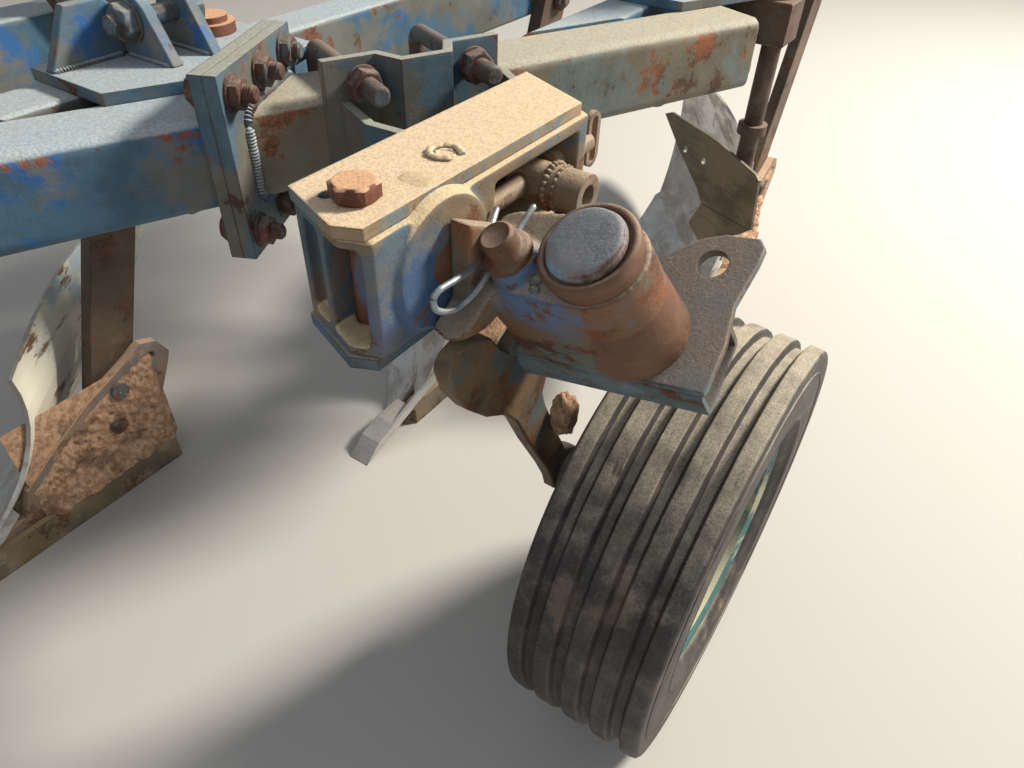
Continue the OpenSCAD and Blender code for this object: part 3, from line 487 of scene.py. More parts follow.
FURROW, PITCH, MID_Z = 350.0, 800.0, 807.0
BEAM_HALF = TOP = 55.0
BEAM_TURN = math.degrees(math.atan(FURROW / PITCH))
JOINT_Y, JOINT_TURN = 75, 50
BEAM = Place((BEAM_HALF / math.cos(math.radians(BEAM_TURN)), 0, MID_Z), spin_z(-BEAM_TURN))
JOINT = BEAM.at(0, JOINT_Y, 0, spin_z(JOINT_TURN))
TUBE = Place((584, 18, MID_Z + 44), spin_y(-13) @ spin_x(30))
BODY = {i: Place((FURROW * i, 243 + PITCH * i, 0)) for i in (-1, 0, 1)}
FLIP = np.diag([1.0, 1.0, -1.0])
ALONG_X, ALONG_Y = spin_y(90), spin_x(-90)
SIDEWAYS = np.array([[0, 0, 1], [1, 0, 0], [0, 1, 0]])
CARRIERS = [(i, up) for i in (-1, 0, 1) for up in (-1, 1)]
print("beam turned by", round(BEAM_TURN, 2), "degrees")

# %% [markdown]
# Most pieces are one idea: a grid of points, worked out as whole arrays and skinned with quads. A
# turned part is a profile carried round an axis, a wire or a weld is a round section carried along
# a path, and a nut is a turned part whose radius follows a hexagon.

# %% grids of points


def skin(grid, close_rows=False):
    """Quads between neighbours on a grid of points, whose columns always close into rings."""
    rows, columns = grid.shape[:2]
    index = np.arange(rows * columns).reshape(rows, columns)
    if close_rows:
        index = np.vstack((index, index[:1]))
    index = np.hstack((index, index[:, :1]))
    corners = index[:-1, :-1], index[:-1, 1:], index[1:, 1:], index[1:, :-1]
    return grid.reshape(-1, 3), np.stack(corners, -1).reshape(-1, 4)


def turned(place, profile, around=64, closed=False, swell=None):
    """A profile of (radius, height) carried round z: x = r cos a, y = r sin a, z = h."""
    radius, height = np.asarray(profile, float).T
    angle = np.linspace(0, 2 * np.pi, around, endpoint=False)
    r = np.repeat(radius[:, None], around, 1)
    if swell is not None:
        r = swell(r, height[:, None], angle[None, :])
    grid = np.stack((r * np.cos(angle), r * np.sin(angle), np.repeat(height[:, None], around, 1)), -1)
    return skin(place.put(grid), closed)


def rod(place, radius, low, high, around=64):
    return turned(place, [(0, low), (radius, low), (radius, high), (0, high)], around)


def tube(points, radius, around=12):
    """A round section carried along a path of points in metres. Its frame is the path's direction,
    the sideways vector square to it nearest a fixed one, and their cross product."""
    points = np.asarray(points, float)
    radius = np.broadcast_to(np.asarray(radius, float), len(points))[:, None, None]
    ahead = np.gradient(points, axis=0)
    ahead /= np.linalg.norm(ahead, axis=1, keepdims=True)
    fixed = np.array([0.13, 0.24, 0.96]) if abs(ahead[:, 2]).mean() < 0.8 else np.array([0.96, 0.24, 0.13])
    side = np.cross(ahead, fixed)
    side /= np.linalg.norm(side, axis=1, keepdims=True)
    lift = np.cross(side, ahead)
    angle = np.linspace(0, 2 * np.pi, around, endpoint=False)[None, :, None]
    around_it = np.cos(angle) * side[:, None] + np.sin(angle) * lift[:, None]
    return skin(points[:, None] + radius * around_it)


def stacked(place, rows, close_rows=False):
    """Flat outlines of x and y, each at its own z, skinned one after the other."""
    levels = [np.column_stack((flat, np.full(len(flat), level))) for flat, level in rows]
    return skin(place.put(np.stack(levels)), close_rows)


def extruded(place, outline, low, high, chamfer=1.2):
    """An outline of x and y carried from low to high on z, its rims cut back by a chamfer: a point
    moves in by the sum of its two edges' inward normals over one plus their dot product. The ends
    stay open, and the mesh fills them."""
    p = np.asarray(outline, float)
    edge = np.roll(p, -1, 0) - p
    way = np.sign(np.sum(p[:, 0] * np.roll(p[:, 1], -1) - p[:, 1] * np.roll(p[:, 0], -1)))
    inward = way * np.column_stack((-edge[:, 1], edge[:, 0])) / np.linalg.norm(edge, axis=1, keepdims=True)
    before = np.roll(inward, 1, 0)
    spread = np.maximum(1 + np.sum(inward * before, 1, keepdims=True), 0.3)
    small = p + chamfer * (inward + before) / spread
    return stacked(place, ((small, low), (p, low + chamfer), (p, high - chamfer), (small, high)))


def round_rect(width, height, corner):
    """Five points round each corner: the corner's centre plus its radius times cos and sin."""
    a = np.radians(np.add.outer([0, 90, 180, 270], np.linspace(0, 90, 5)))
    centre = np.array([(1, 1), (-1, 1), (-1, -1), (1, -1)]) * [width / 2 - corner, height / 2 - corner]
    return (centre[:, None] + corner * np.stack((np.cos(a), np.sin(a)), -1)).reshape(-1, 2)


def hollow(place, width, height, wall, corner, low, high):
    """A box section carried along z: its outer outline up, its inner one back down."""
    outer = round_rect(width, height, corner)
    inner = round_rect(width - 2 * wall, height - 2 * wall, corner - wall + 1.5)
    return stacked(place, ((outer, low), (outer, high), (inner, high), (inner, low)), True)


def run_of(points):
    """The length along a path up to each of its points."""
    return np.concatenate(([0], np.cumsum(np.linalg.norm(np.diff(points, axis=0), axis=1))))


def walk(points, length, at):
    """The places on a path at the given lengths along it."""
    return np.stack([np.interp(at, length, points[:, k]) for k in range(3)], -1)


def smooth_path(points, count):
    """Points at equal steps on a smooth curve through the given ones (a Catmull-Rom spline)."""
    p = np.asarray(points, float)
    p = np.vstack((2 * p[0] - p[1], p, 2 * p[-1] - p[-2]))
    t = np.linspace(0, 1, 12, endpoint=False)[None, :, None]
    a, b, c, d = p[:-3, None], p[1:-2, None], p[2:-1, None], p[3:, None]
    square, cube = 2 * a - 5 * b + 4 * c - d, 3 * b - a - 3 * c + d
    curve = 0.5 * (2 * b + (c - a) * t + square * t ** 2 + cube * t ** 3)
    curve = np.vstack((curve.reshape(-1, 3), p[-2]))
    length = run_of(curve)
    return walk(curve, length, np.linspace(0, length[-1], count))


def together(*parts):
    """Several skins as one: the points follow each other and the quads count on."""
    points, quads, start = [], [], 0
    for p, q in parts:
        points.append(p)
        quads.append(q + start)
        start += len(p)
    return np.concatenate(points), np.concatenate(quads)


def closed_mesh(name, shape):
    """Points and quads as a closed mesh: doubles merged at the poles, open ends filled, faces
    turned outwards."""
    points, quads = shape
    mesh = bpy.data.meshes.new(name)
    mesh.from_pydata(points, [], quads)
    build = bmesh.new()
    build.from_mesh(mesh)
    bmesh.ops.remove_doubles(build, verts=build.verts, dist=1e-6)
    bmesh.ops.holes_fill(build, edges=build.edges)
    bmesh.ops.recalc_face_normals(build, faces=build.faces)
    build.to_mesh(mesh)
    build.free()
    return mesh


def ready(made, body=None, stands_for=None, sharp=35.0):
    """Shades a piece smooth up to an angle, and says what body it rides and what node it shows."""
    made.data.shade_smooth()
    if sharp:
        made.data.set_sharp_from_angle(angle=math.radians(sharp))
    if body:
        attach(made, body)
    if stands_for:
        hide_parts(stands_for)
    print(made.name, len(made.data.polygons), "faces")
    return made


def piece(name, shape, finish, body, stands_for=None, sharp=35.0):
    """A mesh object on one body; it may stand in for a CAD node."""
    made = stand(name, closed_mesh(name, shape))
    made.data.materials.append(bpy.data.materials[finish])
    return ready(made, body, stands_for, sharp)


def settle(made):
    """The object with its modifiers applied."""
    mesh = bpy.data.meshes.new_from_object(made.evaluated_get(bpy.context.evaluated_depsgraph_get()))
    made.modifiers.clear()
    made.data = mesh


def bored(made, *shapes, sharp=35.0):
    """The piece less the given shapes, each cut out by a Boolean that is applied at once."""
    for shape in shapes:
        cutter = stand("cutter", closed_mesh("cutter", shape))
        bore = made.modifiers.new("bore", "BOOLEAN")
        bore.operation, bore.solver, bore.object = "DIFFERENCE", "EXACT", cutter
        settle(made)
        bpy.data.objects.remove(cutter)
    ready(made, sharp=sharp)


def waves(seed, *axes):
    """Smooth noise from about -1 to 1: a sum of fourteen sines with seeded directions and phases."""
    rng = np.random.default_rng(seed)
    total = 0.0
    for k in range(14):
        pace = 1 + 0.35 * k
        across = sum(w * a for w, a in zip(rng.normal(size=len(axes)), axes))
        total = total + np.sin(across * pace + rng.uniform(0, 6.28)) / pace
    return total / 2.4


# %% [markdown]
# The tyre is a ribbed front tyre. Its section is a grid across the tread: five ribs with rounded
# shoulders stand over grooves whose walls lean, and the walls below carry a few moulded rings.
# The section is carried round the axle, and years of use are a slow wave in every rib's edge.

# %% tyre
TYRE_R, HALF_W, RIM_R, GROOVE = 314.0, 97.5, 165.0, 12
RIBS, SHOULDER, RIB_HALF, LEAN = 5, 12.7, 10.6, 5.4
AXLE_X, AXLE_Y = 675, 227
AXLE = Place((AXLE_X, AXLE_Y, TYRE_R), ALONG_X)


def tread_height(across):
    """Height over the groove floor, 12 at a rib and 0 between: one minus a smooth step of the
    distance from the nearest rib's middle."""
    pitch = (2 * HALF_W - 2 * SHOULDER) / (RIBS - 1)
    off = np.abs((across + HALF_W - SHOULDER + pitch / 2) % pitch - pitch / 2)
    s = np.clip((off - RIB_HALF) / LEAN, 0, 1)
    return GROOVE * (1 - s * s * (3 - 2 * s))


across = np.linspace(-HALF_W + 7, HALF_W - 7, 150)
crown = TYRE_R - GROOVE + tread_height(across) - 2.2 * (across / HALF_W) ** 4
# the side wall as (depth under the tread or height over the rim, depth inside the full width)
MIRROR = [1, -1]
UPPER = [(2.5, 4.5), (7, 1.6), (12, 0.8), (22, 1.4), (32, 2.2), (33, 0.9), (35, 0.9), (36, 2.2),
         (50, 1.0), (68, 0.3)]
LOWER = [(62, 0.8), (50, 2.6), (48, 1.4), (45, 1.6), (43, 3.8), (28, 10), (15.5, 19),
         (13.5, 24.3), (1, 30.5)]
right = np.vstack(([TYRE_R, HALF_W] - np.array(UPPER), [RIM_R, HALF_W] + np.array(LOWER) * MIRROR))
bead_in = np.array([(RIM_R + 22, 62), (TYRE_R - 42, 74), (TYRE_R - 32, 0.0)])
section = np.vstack((np.column_stack((crown, across)), right, bead_in,
                     bead_in[1::-1] * MIRROR, right[::-1] * MIRROR))


def wear(r, h, a):
    """Worn rubber: slow waves round the tyre, only on what stands above the groove floor."""
    high = np.clip((r - (TYRE_R - GROOVE)) / GROOVE, 0, 1)
    nicks = np.clip(waves(5, np.cos(a) * 60, np.sin(a) * 60, h / 5.0) - 0.8, 0, 1)
    return r - high * (0.7 + 0.7 * waves(3, np.cos(a) * 9, np.sin(a) * 9, h / 14.0) + nicks * 2.2)


piece("ribbed_tyre", turned(AXLE, section, 300, True, wear), "old_tyre_rubber", "wheel", "tyre", 50)

# %% [markdown]
# A bolt is three turned parts. The nut's radius follows a hexagon, apothem / cos(angle), cut by a
# cone at its two rims; the shank is plain; and the thread's radius is a triangle wave of height
# over pitch less angle over a turn, which winds it round the shank.

# %% nuts, threads and bolts
HEX_COLUMNS = 48


def hexagon(place, corner, height, washer=0.0):
    """A nut or head: rings of a hexagon with its rims chamfered at thirty degrees."""
    flat = corner * math.cos(math.radians(30))
    cut = (corner - flat * 0.96) * 0.6
    rings = [(0, 0), (flat * 0.96, 0), (corner, cut), (corner, height - cut), (flat * 0.93, height),
             (flat * 0.90, height), (0, height - 0.4)]

    def follow(r, h, a):
        side = flat / np.cos((a + math.radians(30)) % math.radians(60) - math.radians(30))
        return np.minimum(r, side)

    shape = turned(place, rings, HEX_COLUMNS, swell=follow)
    if washer:
        rim = [(0, 0), (washer, 0), (washer, 2.6), (washer - 1, 3.4), (0, 3.4)]
        shape = together(shape, turned(place.at(0, 0, -0.2), rim, HEX_COLUMNS))
    return shape


def threaded(place, radius, start, stop, pitch=3.0, depth=1.4):
    """A thread from start to stop on z, with a chamfered end."""
    rows = int(abs(stop - start) / pitch * 5) + 2
    height = np.linspace(start, stop, rows)
    end = np.abs(stop - height)
    body = np.where(end < 3.0, radius - (3.0 - end) * 0.8, radius)
    tip = [(radius - 4.5, stop), (0, stop - 0.6)]
    profile = np.vstack(([(0, start)], np.column_stack((body, height)), tip))

    def wind(r, h, a):
        turn = (h / pitch - a / (2 * np.pi)) % 1.0
        return np.where(r > radius - 3.5, r - depth * (1 - np.abs(2 * turn - 1)), r)

    return turned(place, profile, 24, swell=wind)


def bolt(place, radius, corner, head, nut, tail, head_at, nut_at):
    """A head that ends at head_at, a nut from nut_at up, and tail millimetres of thread past it."""
    return together(
        hexagon(place.at(0, 0, head_at, FLIP @ spin_z(8)), corner, head),
        hexagon(place.at(0, 0, nut_at, spin_z(21)), corner, nut, corner * 1.12),
        rod(place, radius, head_at - 1, nut_at + 1, 24),
        threaded(place, radius, nut_at + 1, nut_at + nut + tail))


BOLT_ROW, BOLT_COLUMN, FLANGE_FACE = 84, 76, 16.2
piece("joint_bolts", together(*[
    bolt(JOINT.at(0, sy * BOLT_COLUMN, sz * BOLT_ROW, ALONG_X), 10.3, 18.5, 15, 15, 9 + 5 * (sy != 1),
         -FLANGE_FACE, FLANGE_FACE)
    for sy in (-1, 0, 1) for sz in (-1, 1)]), "bolt_rust", "frame", "flange_bolts")

STUD_R, STUD_CORNER, LUG_HOLE = 12.2, 22.5, TOP + 59
link_parts = []
for i, up in CARRIERS:
    seat = Place((FURROW * i - 75, PITCH * i + 10, MID_Z + up * LUG_HOLE))
    back = ALONG_Y @ spin_x(180)
    link_parts += [
        hexagon(seat.at(0, 32, 0, back @ spin_z(11)), STUD_CORNER, 20, 24),
        hexagon(seat.at(0, 108.3, 0, ALONG_Y @ spin_z(17)), STUD_CORNER, 18, 24),
        threaded(seat.at(0, 30, 0, back), STUD_R, -80, 30),
        threaded(seat.at(0, 100, 0, ALONG_Y), STUD_R, -10, 30)]
piece("link_stud_set", together(*link_parts), "link_bolt_metal", "frame", "link_bolts")

CLAMP_Y, CLAMP_HALF, CLAMP_Z = 262, 75, 73
clamp_parts = []
for s in (-1, 1):
    for up in (-1, 1):
        seat = BEAM.at(BEAM_HALF, CLAMP_Y + s * CLAMP_HALF, up * CLAMP_Z, ALONG_X)
        clamp_parts += [hexagon(seat.at(0, 0, 24.4, spin_z(13 * s)), 21, 19, 22),
                        threaded(seat, 12.9, 42, 77)]
piece("clamp_nuts", together(*clamp_parts), "bolt_rust", "frame", "ubolt_nuts")

SHANK, PLATE_FACE = 12, 76.1
tall = Place((404, -81, MID_Z))
piece("carrier_through_bolt", together(
    hexagon(tall.at(0, 0, PLATE_FACE, spin_z(4)), 24, 17),
    rod(tall, SHANK, -100, 77, 32),
    hexagon(tall.at(0, 0, -PLATE_FACE, FLIP @ spin_z(20)), 22, 19, 24),
    threaded(tall.at(0, 0, 0, FLIP), SHANK, 90, 110)), "red_rust", "frame", "carrier_bolt")

# the body's leg leans back by LEG_SLOPE from LEG_LOW up
LEG_SLOPE, LEG_LOW = 0.37, 254
leg_parts = []
for i in BODY:
    for dz in (-30, 30):
        seat = BODY[i].at(-34, 540 + (MID_Z - LEG_LOW) * LEG_SLOPE, MID_Z + dz, ALONG_X)
        leg_parts += [
            hexagon(seat.at(0, 0, 0.2, spin_z(9)), 21, 14), threaded(seat, SHANK, 12, 22),
            rod(seat, SHANK, -110, 4, 24), hexagon(seat.at(0, 0, -108.2, FLIP @ spin_z(15)), 21, 15, 22),
            threaded(seat.at(0, 0, 0, FLIP), SHANK, 120, 129)]
piece("leg_bolt_set", together(*leg_parts), "bolt_rust", "frame", "leg_bolts")

# %% [markdown]
# The swivel tube is a turned forging: a cone that widens to a rounded foot, a lip at its top and a
# recess round the shaft's cap. The lock pin has a domed head on a sloping collar. Both have no
# sharp edge left, so every corner of the profile is broken with a short slope.

# %% tube, cap and lock pin
TUBE_L = 163.0
tube_profile = [
    (30.1, -TUBE_L), (46, -TUBE_L), (52, -TUBE_L + 1.5), (56, -TUBE_L + 6), (57, -TUBE_L + 12),
    (56, -TUBE_L + 22), (52.6, -90), (49.0, -40), (46.9, -17), (47.6, -15), (49.2, -14), (49.8, -12),
    (49.8, -4), (48.6, -1.2), (46.6, 0), (43.6, 0), (42.3, -1.2), (41.8, -5), (30.1, -5)]
piece("swivel_tube_forging", turned(TUBE, tube_profile, 96, True), "tube_rust", "wheel_arm",
      "swivel_tube", 60)

cap_profile = [
    (0, -TUBE_L - 0.3), (30, -TUBE_L - 0.3), (30, -4.7), (38.2, -4.7), (39.2, -3.4), (39.2, 2.2),
    (38.4, 3.6), (37.2, 4.0), (36.8, 4.9), (37.0, 6.6), (36.0, 8.4), (33.6, 9.2), (24, 9.6), (0, 9.5)]
piece("swivel_cap", turned(TUBE, cap_profile, 96), "cap_rust", "swivel", "swivel_shaft", 60)

PIN = TUBE.at(-83, -14, 0)
pin_profile = [
    (0, -157), (11.5, -157), (13, -155), (13, -10), (24, -9.7), (26.0, -8.0), (26.4, -4.5),
    (25.0, -1.0), (21.5, 1.2), (18.8, 2.2), (17.8, 3.6), (17.8, 6.0), (18.0, 18.6), (16.8, 21.0),
    (14.6, 22.2), (13.6, 21.2), (0, 21.0)]
piece("lock_pin_forging", turned(PIN, pin_profile, 64), "tube_rust", "wheel_arm", "lock_pin", 50)

# %% [markdown]
# The lock pin is kept in by a bent wire clip. Its loop hangs in front of the boss, and both legs
# run back on either side of the pin. The route is a few points in space, given in the tube's own
# frame, with a smooth curve through them, and a round section is carried along it.

# %% wire clip
CLIP = [
    # along the link, across it and height over the tube's top
    (-129, 43, -14), (-118, 8, -8), (-110, -25, -2), (-106, -44, 4), (-103, -66, 20), (-103, -84, 32),
    (-107, -93, 30), (-109, -98, 20), (-110, -93, 6), (-111, -81, -8), (-107, -68, -12),
    (-103, -52, -14), (-100, -34, -14), (-95, -8, -14), (-90, 20, -14), (-86, 50, -14)]
clip_route = smooth_path(TUBE.put(CLIP), 150)
wire = np.full(len(clip_route), 0.0033)
wire[[0, -1]], wire[[1, -2]] = 0.0002, 0.0028
piece("wire_clip", tube(clip_route, wire, 14), "dull_zinc", "wheel_arm", sharp=60)

# %% [markdown]
# Welds are drawn as beads along the line where two plates meet: a thick wire, half sunk, whose
# radius swells once for every ripple that the welder laid down and wanders a little besides.

# %% weld beads


def bead(points, radius, ripple=4.0, swell=0.22, seed=1):
    """A weld along a path in metres: radius times one plus swell times |sin| of the length over
    the ripple, tapered to nothing at its ends."""
    points = np.asarray(points, float)
    length = run_of(points) * 1000
    at = np.arange(0, length[-1], 1.0)
    r = radius * (1 - swell + swell * 2 * np.abs(np.sin(np.pi * at / ripple)) + 0.12 * waves(seed, at / 9.0))
    fade = np.clip(np.minimum(at, at[-1] - at) / 4.0, 0.03, 1)
    return tube(walk(points, length, at), r * fade / 1000, 8)


def ring(place, radius, count=60, start=0.0, stop=360.0):
    """Points round z, from start to stop in degrees."""
    angle = np.radians(np.linspace(start, stop, count))
    return place.put(np.column_stack((radius * np.cos(angle), radius * np.sin(angle), np.zeros(count))))


def beam_outline(offset, half=55.5, corner=16):
    """The beam's rounded outline in the joint's slanted plane: y = 75 + (offset - x cos 50) / sin 50."""
    a = np.radians(np.linspace(0, 90, 7))
    quarter = half - corner + corner * np.column_stack((np.cos(a), np.sin(a)))
    x = np.concatenate((quarter[:, 0], -quarter[::-1, 0], -quarter[:, 0], quarter[::-1, 0], quarter[:1, 0]))
    z = np.concatenate((quarter[:, 1], quarter[::-1, 1], -quarter[:, 1], -quarter[::-1, 1], quarter[:1, 1]))
    slant = math.radians(JOINT_TURN)
    y = JOINT_Y + (offset - x * math.cos(slant)) / math.sin(slant)
    return BEAM.put(np.column_stack((x, y, z)))


welds = [bead(beam_outline(-17.5), 5.0, seed=2), bead(beam_outline(17.5), 5.5, seed=3)]
for i, up in CARRIERS:
    foot = Place((FURROW * i, PITCH * i, MID_Z + up * (TOP + 15.5)))
    for x in (-118.5, -103.5):
        welds.append(bead(foot.put([(x, -57, 0), (x, 40, 0)]), 4.2, seed=7 + i + up))
    for y in (41, 59, 101, 119):
        welds.append(bead(foot.put([(-100, y, 0), (-16, y, 0)]), 3.6, seed=17 + i + up))
piece("frame_welds", together(*welds), "carrier_blue", "frame", sharp=60)

plate_ring = Place((409, 39, MID_Z + 76.4))
piece("plate_weld_ring", together(
    bead(ring(plate_ring, 15.5, 60, 15, 340), 4.2, 11.0, 0.12, 4),
    bead(ring(plate_ring.at(1, 0, -1.4), 9.5, 60, 60, 400), 2.6, 9.0, 0.12, 5)),
    "top_plate_sand", "frame", sharp=60)

pipe_seam = Place((452, 180, MID_Z), ALONG_X)
piece("stop_pipe_seams", together(
    bead(ring(pipe_seam.at(0, 0, 0.5), 25.6, 80), 3.0, 7.0, 0.45, 6),
    bead(ring(pipe_seam.at(0, 0, 12), 25.0, 80), 1.9, 8.0, 0.45, 7)), "stop_pipe_rust", "frame", sharp=60)

# %% [markdown]
# Three weld studs stand on the arm's flat. Each is a half-buried turned dome whose radius wanders
# with the angle, so no two look stamped.

# %% weld studs


def dome(place, radius, height, seed):
    """A low dome: height times the cosine over its radius, with a wandering rim."""
    a = np.linspace(0, 1, 7) * np.pi / 2
    curve = np.column_stack((radius * np.cos(a), height * np.sin(a)))
    profile = np.vstack(([(0, -2.0), (radius, -2.0)], curve))

    def wander(r, h, a):
        return r * (1 + 0.14 * np.sin(2 * a + seed) + 0.08 * np.sin(3 * a + 2 * seed))

    return turned(place, profile, 20, swell=wander)


STUDS = ((-74, -36, 6.0), (-52, -29, 6.5), (-49, -39, 5.5))
studs = [dome(TUBE.at(x, y, -24.9), r, 5.0, k) for k, (x, y, r) in enumerate(STUDS)]
piece("arm_studs", together(*studs), "arm_rust", "wheel_arm", sharp=60)

# %% [markdown]
# A sand casting has no sharp edges: its mould can't hold one. The carrier's CAD solid and the flare
# of its boss are merged, remeshed as one skin of small cubes and relaxed, which rounds every edge
# and fills every inner corner a little. The arm is built from lumps alone in the same way.

# %% castings


def cast(name, lumps, finish, body, stands_for, source=None, cube=0.0032):
    """The lumps, and the solid if there is one, as one closed skin with its corners relaxed."""
    build = bmesh.new()
    if source:
        build.from_mesh(nodes[source].data)
        bmesh.ops.remove_doubles(build, verts=build.verts, dist=1e-6)
    for lump in lumps:
        part = closed_mesh(name + "_lump", lump)
        build.from_mesh(part)
        bpy.data.meshes.remove(part)
    rough = bpy.data.meshes.new(name + "_rough")
    build.to_mesh(rough)
    build.free()
    made = stand(name, rough)
    remesh = made.modifiers.new("cubes", "REMESH")
    remesh.mode, remesh.voxel_size = "VOXEL", cube
    relax = made.modifiers.new("relax", "SMOOTH")
    relax.factor, relax.iterations = 0.5, 5
    settle(made)
    bpy.data.meshes.remove(rough)
    made.data.name = name
    made.data.materials.clear()
    made.data.materials.append(bpy.data.materials[finish])
    return ready(made, body, stands_for, None)


HUB_Y = -22
boss_flare = turned(Place((404, HUB_Y, MID_Z), ALONG_X), [
    (0, 0), (77, 0), (77, 36), (73, 44), (70, 50), (68, 54.2), (0, 54.2)], 72)
cast("carrier_cast", [boss_flare], "casting_tan", "frame", "carrier_casting", "carrier_casting")

# %% [markdown]
# The arm is one casting too: a hub on the trunnion, a thick link under the swivel tube and a boss
# for the lock pin, all planed off to one flat on top. Each is a simple closed form. What rises
# over the flat drops straight down to it, and what passes the hub's face slides back along the
# link, so the plane cuts need no Boolean.

# %% wheel arm
HUB_X = 458.8
HUB = Place((HUB_X, HUB_Y, MID_Z), ALONG_X)
FLAT_Z, LINK_L, LINK_R, END_R = -25.0, 100.0, 52.0, 50.0
TRUNNION_X, TRUNNION_R, TUBE_BORE, PIN_BORE = 345, 22, 44, 13.2


def right_of(shape, limit):
    """Points left of the plane x = limit slide to it along the tube's own x."""
    points, quads = shape
    short = np.maximum(limit / 1000 + ZERO[0] - points[:, 0], 0)[:, None]
    return points + short / TUBE.axes[0, 0] * TUBE.axes[:, 0], quads


def under(shape, level):
    """Points above z = level of the tube's frame drop to it straight down."""
    points, quads = shape
    over_it = (points - TUBE.put([0, 0, level])) @ TUBE.axes[:, 2]
    return points - np.outer(np.maximum(over_it, 0) / TUBE.axes[2, 2], [0, 0, 1]), quads


tangent = math.acos((LINK_R - END_R) / LINK_L)
front_arc = np.linspace(tangent - np.pi, np.pi - tangent, 40)
rear_arc = np.linspace(np.pi - tangent, np.pi + tangent, 30)
link_outline = np.concatenate((
    np.column_stack((LINK_R * np.cos(front_arc), LINK_R * np.sin(front_arc))),
    np.column_stack((END_R * np.cos(rear_arc) - LINK_L, END_R * np.sin(rear_arc)))))
WEB = [(0, -40), (140, -70), (224, -50), (226, -25.4), (150, -25.4), (0, 50)]
arm = cast("arm_cast", [
    under(turned(HUB, [(0, 0), (68, 0), (68, 34), (56, 46), (0, 46)], 96), FLAT_Z),
    right_of(extruded(TUBE, link_outline, 2 - TUBE_L, FLAT_Z), HUB_X),
    turned(PIN, [(0, -60), (27, -60), (27, -14), (25, -10.4), (0, -10.4)]),
    extruded(Place(HUB.origin, SIDEWAYS), WEB, 0, 26)], "arm_rust", "wheel_arm", "wheel_arm", cube=0.0030)
bored(arm, rod(TUBE, TUBE_BORE, -175, 20), rod(PIN, PIN_BORE, -170, 20, 40), sharp=50)
trunnion = rod(Place((TRUNNION_X, HUB_Y, MID_Z), ALONG_X), TRUNNION_R, 0, 114.2)
piece("arm_trunnion", trunnion, "tube_rust", "frame", "trunnion")

# %% [markdown]
# Under the tube a flat plate and a box section turn with the wheel's leg. Plates are outlines
# carried through their thickness with both rims cut back, as a flame cutter and a grinder leave
# them, and their holes are bored afterwards.

# %% bracket and leg under the tube
PLATE_TOP = -TUBE_L - 0.3
LEG_FACE, LEG_T = 485.0, 22.0
LOCK_PLATE = [(-141, -48), (88, -48), (90, -40), (92, 10), (86, 56), (94, 108), (95, 128), (87, 139),
              (49, 140), (26, 133), (6, 118), (-18, 100), (-60, 40), (-131, 40)]
lock_plate = piece("lock_plate_cut", extruded(TUBE, LOCK_PLATE, PLATE_TOP - 10, PLATE_TOP, 1.6),
                   "bracket_rust", "swivel", "lock_plate")
bored(lock_plate, rod(TUBE.at(47, 101, 0), 17, -200, -150), rod(PIN, 13.6, -200, -150))
BOX_W, BOX_H, BOX_WALL = 92, 45, 7
box = hollow(TUBE.at(0, -4, PLATE_TOP - 32.5, SIDEWAYS), BOX_W, BOX_H, BOX_WALL, 8, -185, 84)
piece("swivel_box_section", right_of(box, LEG_FACE + 0.3), "bracket_rust", "swivel", "swivel_box")

LEG_TOP = [(50, -145), (30, -125), (14, -102), (-8, -89), (-30, -84), (-48, -88), (-58, -96), (-61, -106),
           (-52, -138), (-27, -177), (7, -213), (46, -239), (73, -273), (104, -335)]
LEG_FOOT = [(156, 65), (180, 17), (190, -14), (212, -34), (240, -32), (262, -11), (262, 18), (240, 40),
            (213, 58), (178, 126)]
LEG_BACK = [(140, -287), (132, -262), (150, -207), (152, -139), (126, -103)]
leg_outline = [(y, z + level) for part, level in ((LEG_TOP, MID_Z), (LEG_FOOT, TYRE_R), (LEG_BACK, MID_Z))
               for y, z in part]
piece("wheel_leg_plate", extruded(Place((LEG_FACE - LEG_T, 0, 0), SIDEWAYS), leg_outline, 0, LEG_T, 2.2),
      "wheel_leg_rust", "swivel", "wheel_leg")
piece("stub_axle_turned", turned(Place((LEG_FACE, AXLE_Y, TYRE_R), ALONG_X), [
    (0, -23), (20, -23), (22, -21), (22, 0), (36, 0.2), (36, 28), (34, 30), (22, 30), (22, 263), (20, 265),
    (0, 265)]), "wheel_leg_rust", "swivel", "stub_axle")

# %% [markdown]
# Each body's bracket carries a pair of rounded lugs and one plate square to them, and the rear
# bracket holds the skimmer: a round stem in a block, with a small board and share of its own.

# %% lugs and skimmer
arc = np.radians(np.linspace(20, 160, 24))
lug_outline = np.vstack(([(0, 0), (112, 0)], np.column_stack((50 + 35 * np.cos(arc), 40 + 35 * np.sin(arc)))))
WEB_PLATE = [(-58, 0), (42, 0), (42, 56), (30, 68), (-20, 68)]
UPRIGHT = np.array([[1, 0, 0], [0, 0, 1], [0, 1, 0]])
lug_parts = []
for i, up in CARRIERS:
    foot = Place((FURROW * i, PITCH * i, MID_Z + up * (TOP + 15)), np.diag([1, 1, up]))
    lug_parts += [extruded(foot.at(-125, y, 0, UPRIGHT), lug_outline, 0, 16, 1.5) for y in (42, 102)]
    lug_parts.append(extruded(foot.at(-118, 0, 0, SIDEWAYS), WEB_PLATE, 0, 14, 1.5))
piece("link_lug_plates", together(*lug_parts), "lug_blue", "frame", "link_lugs")

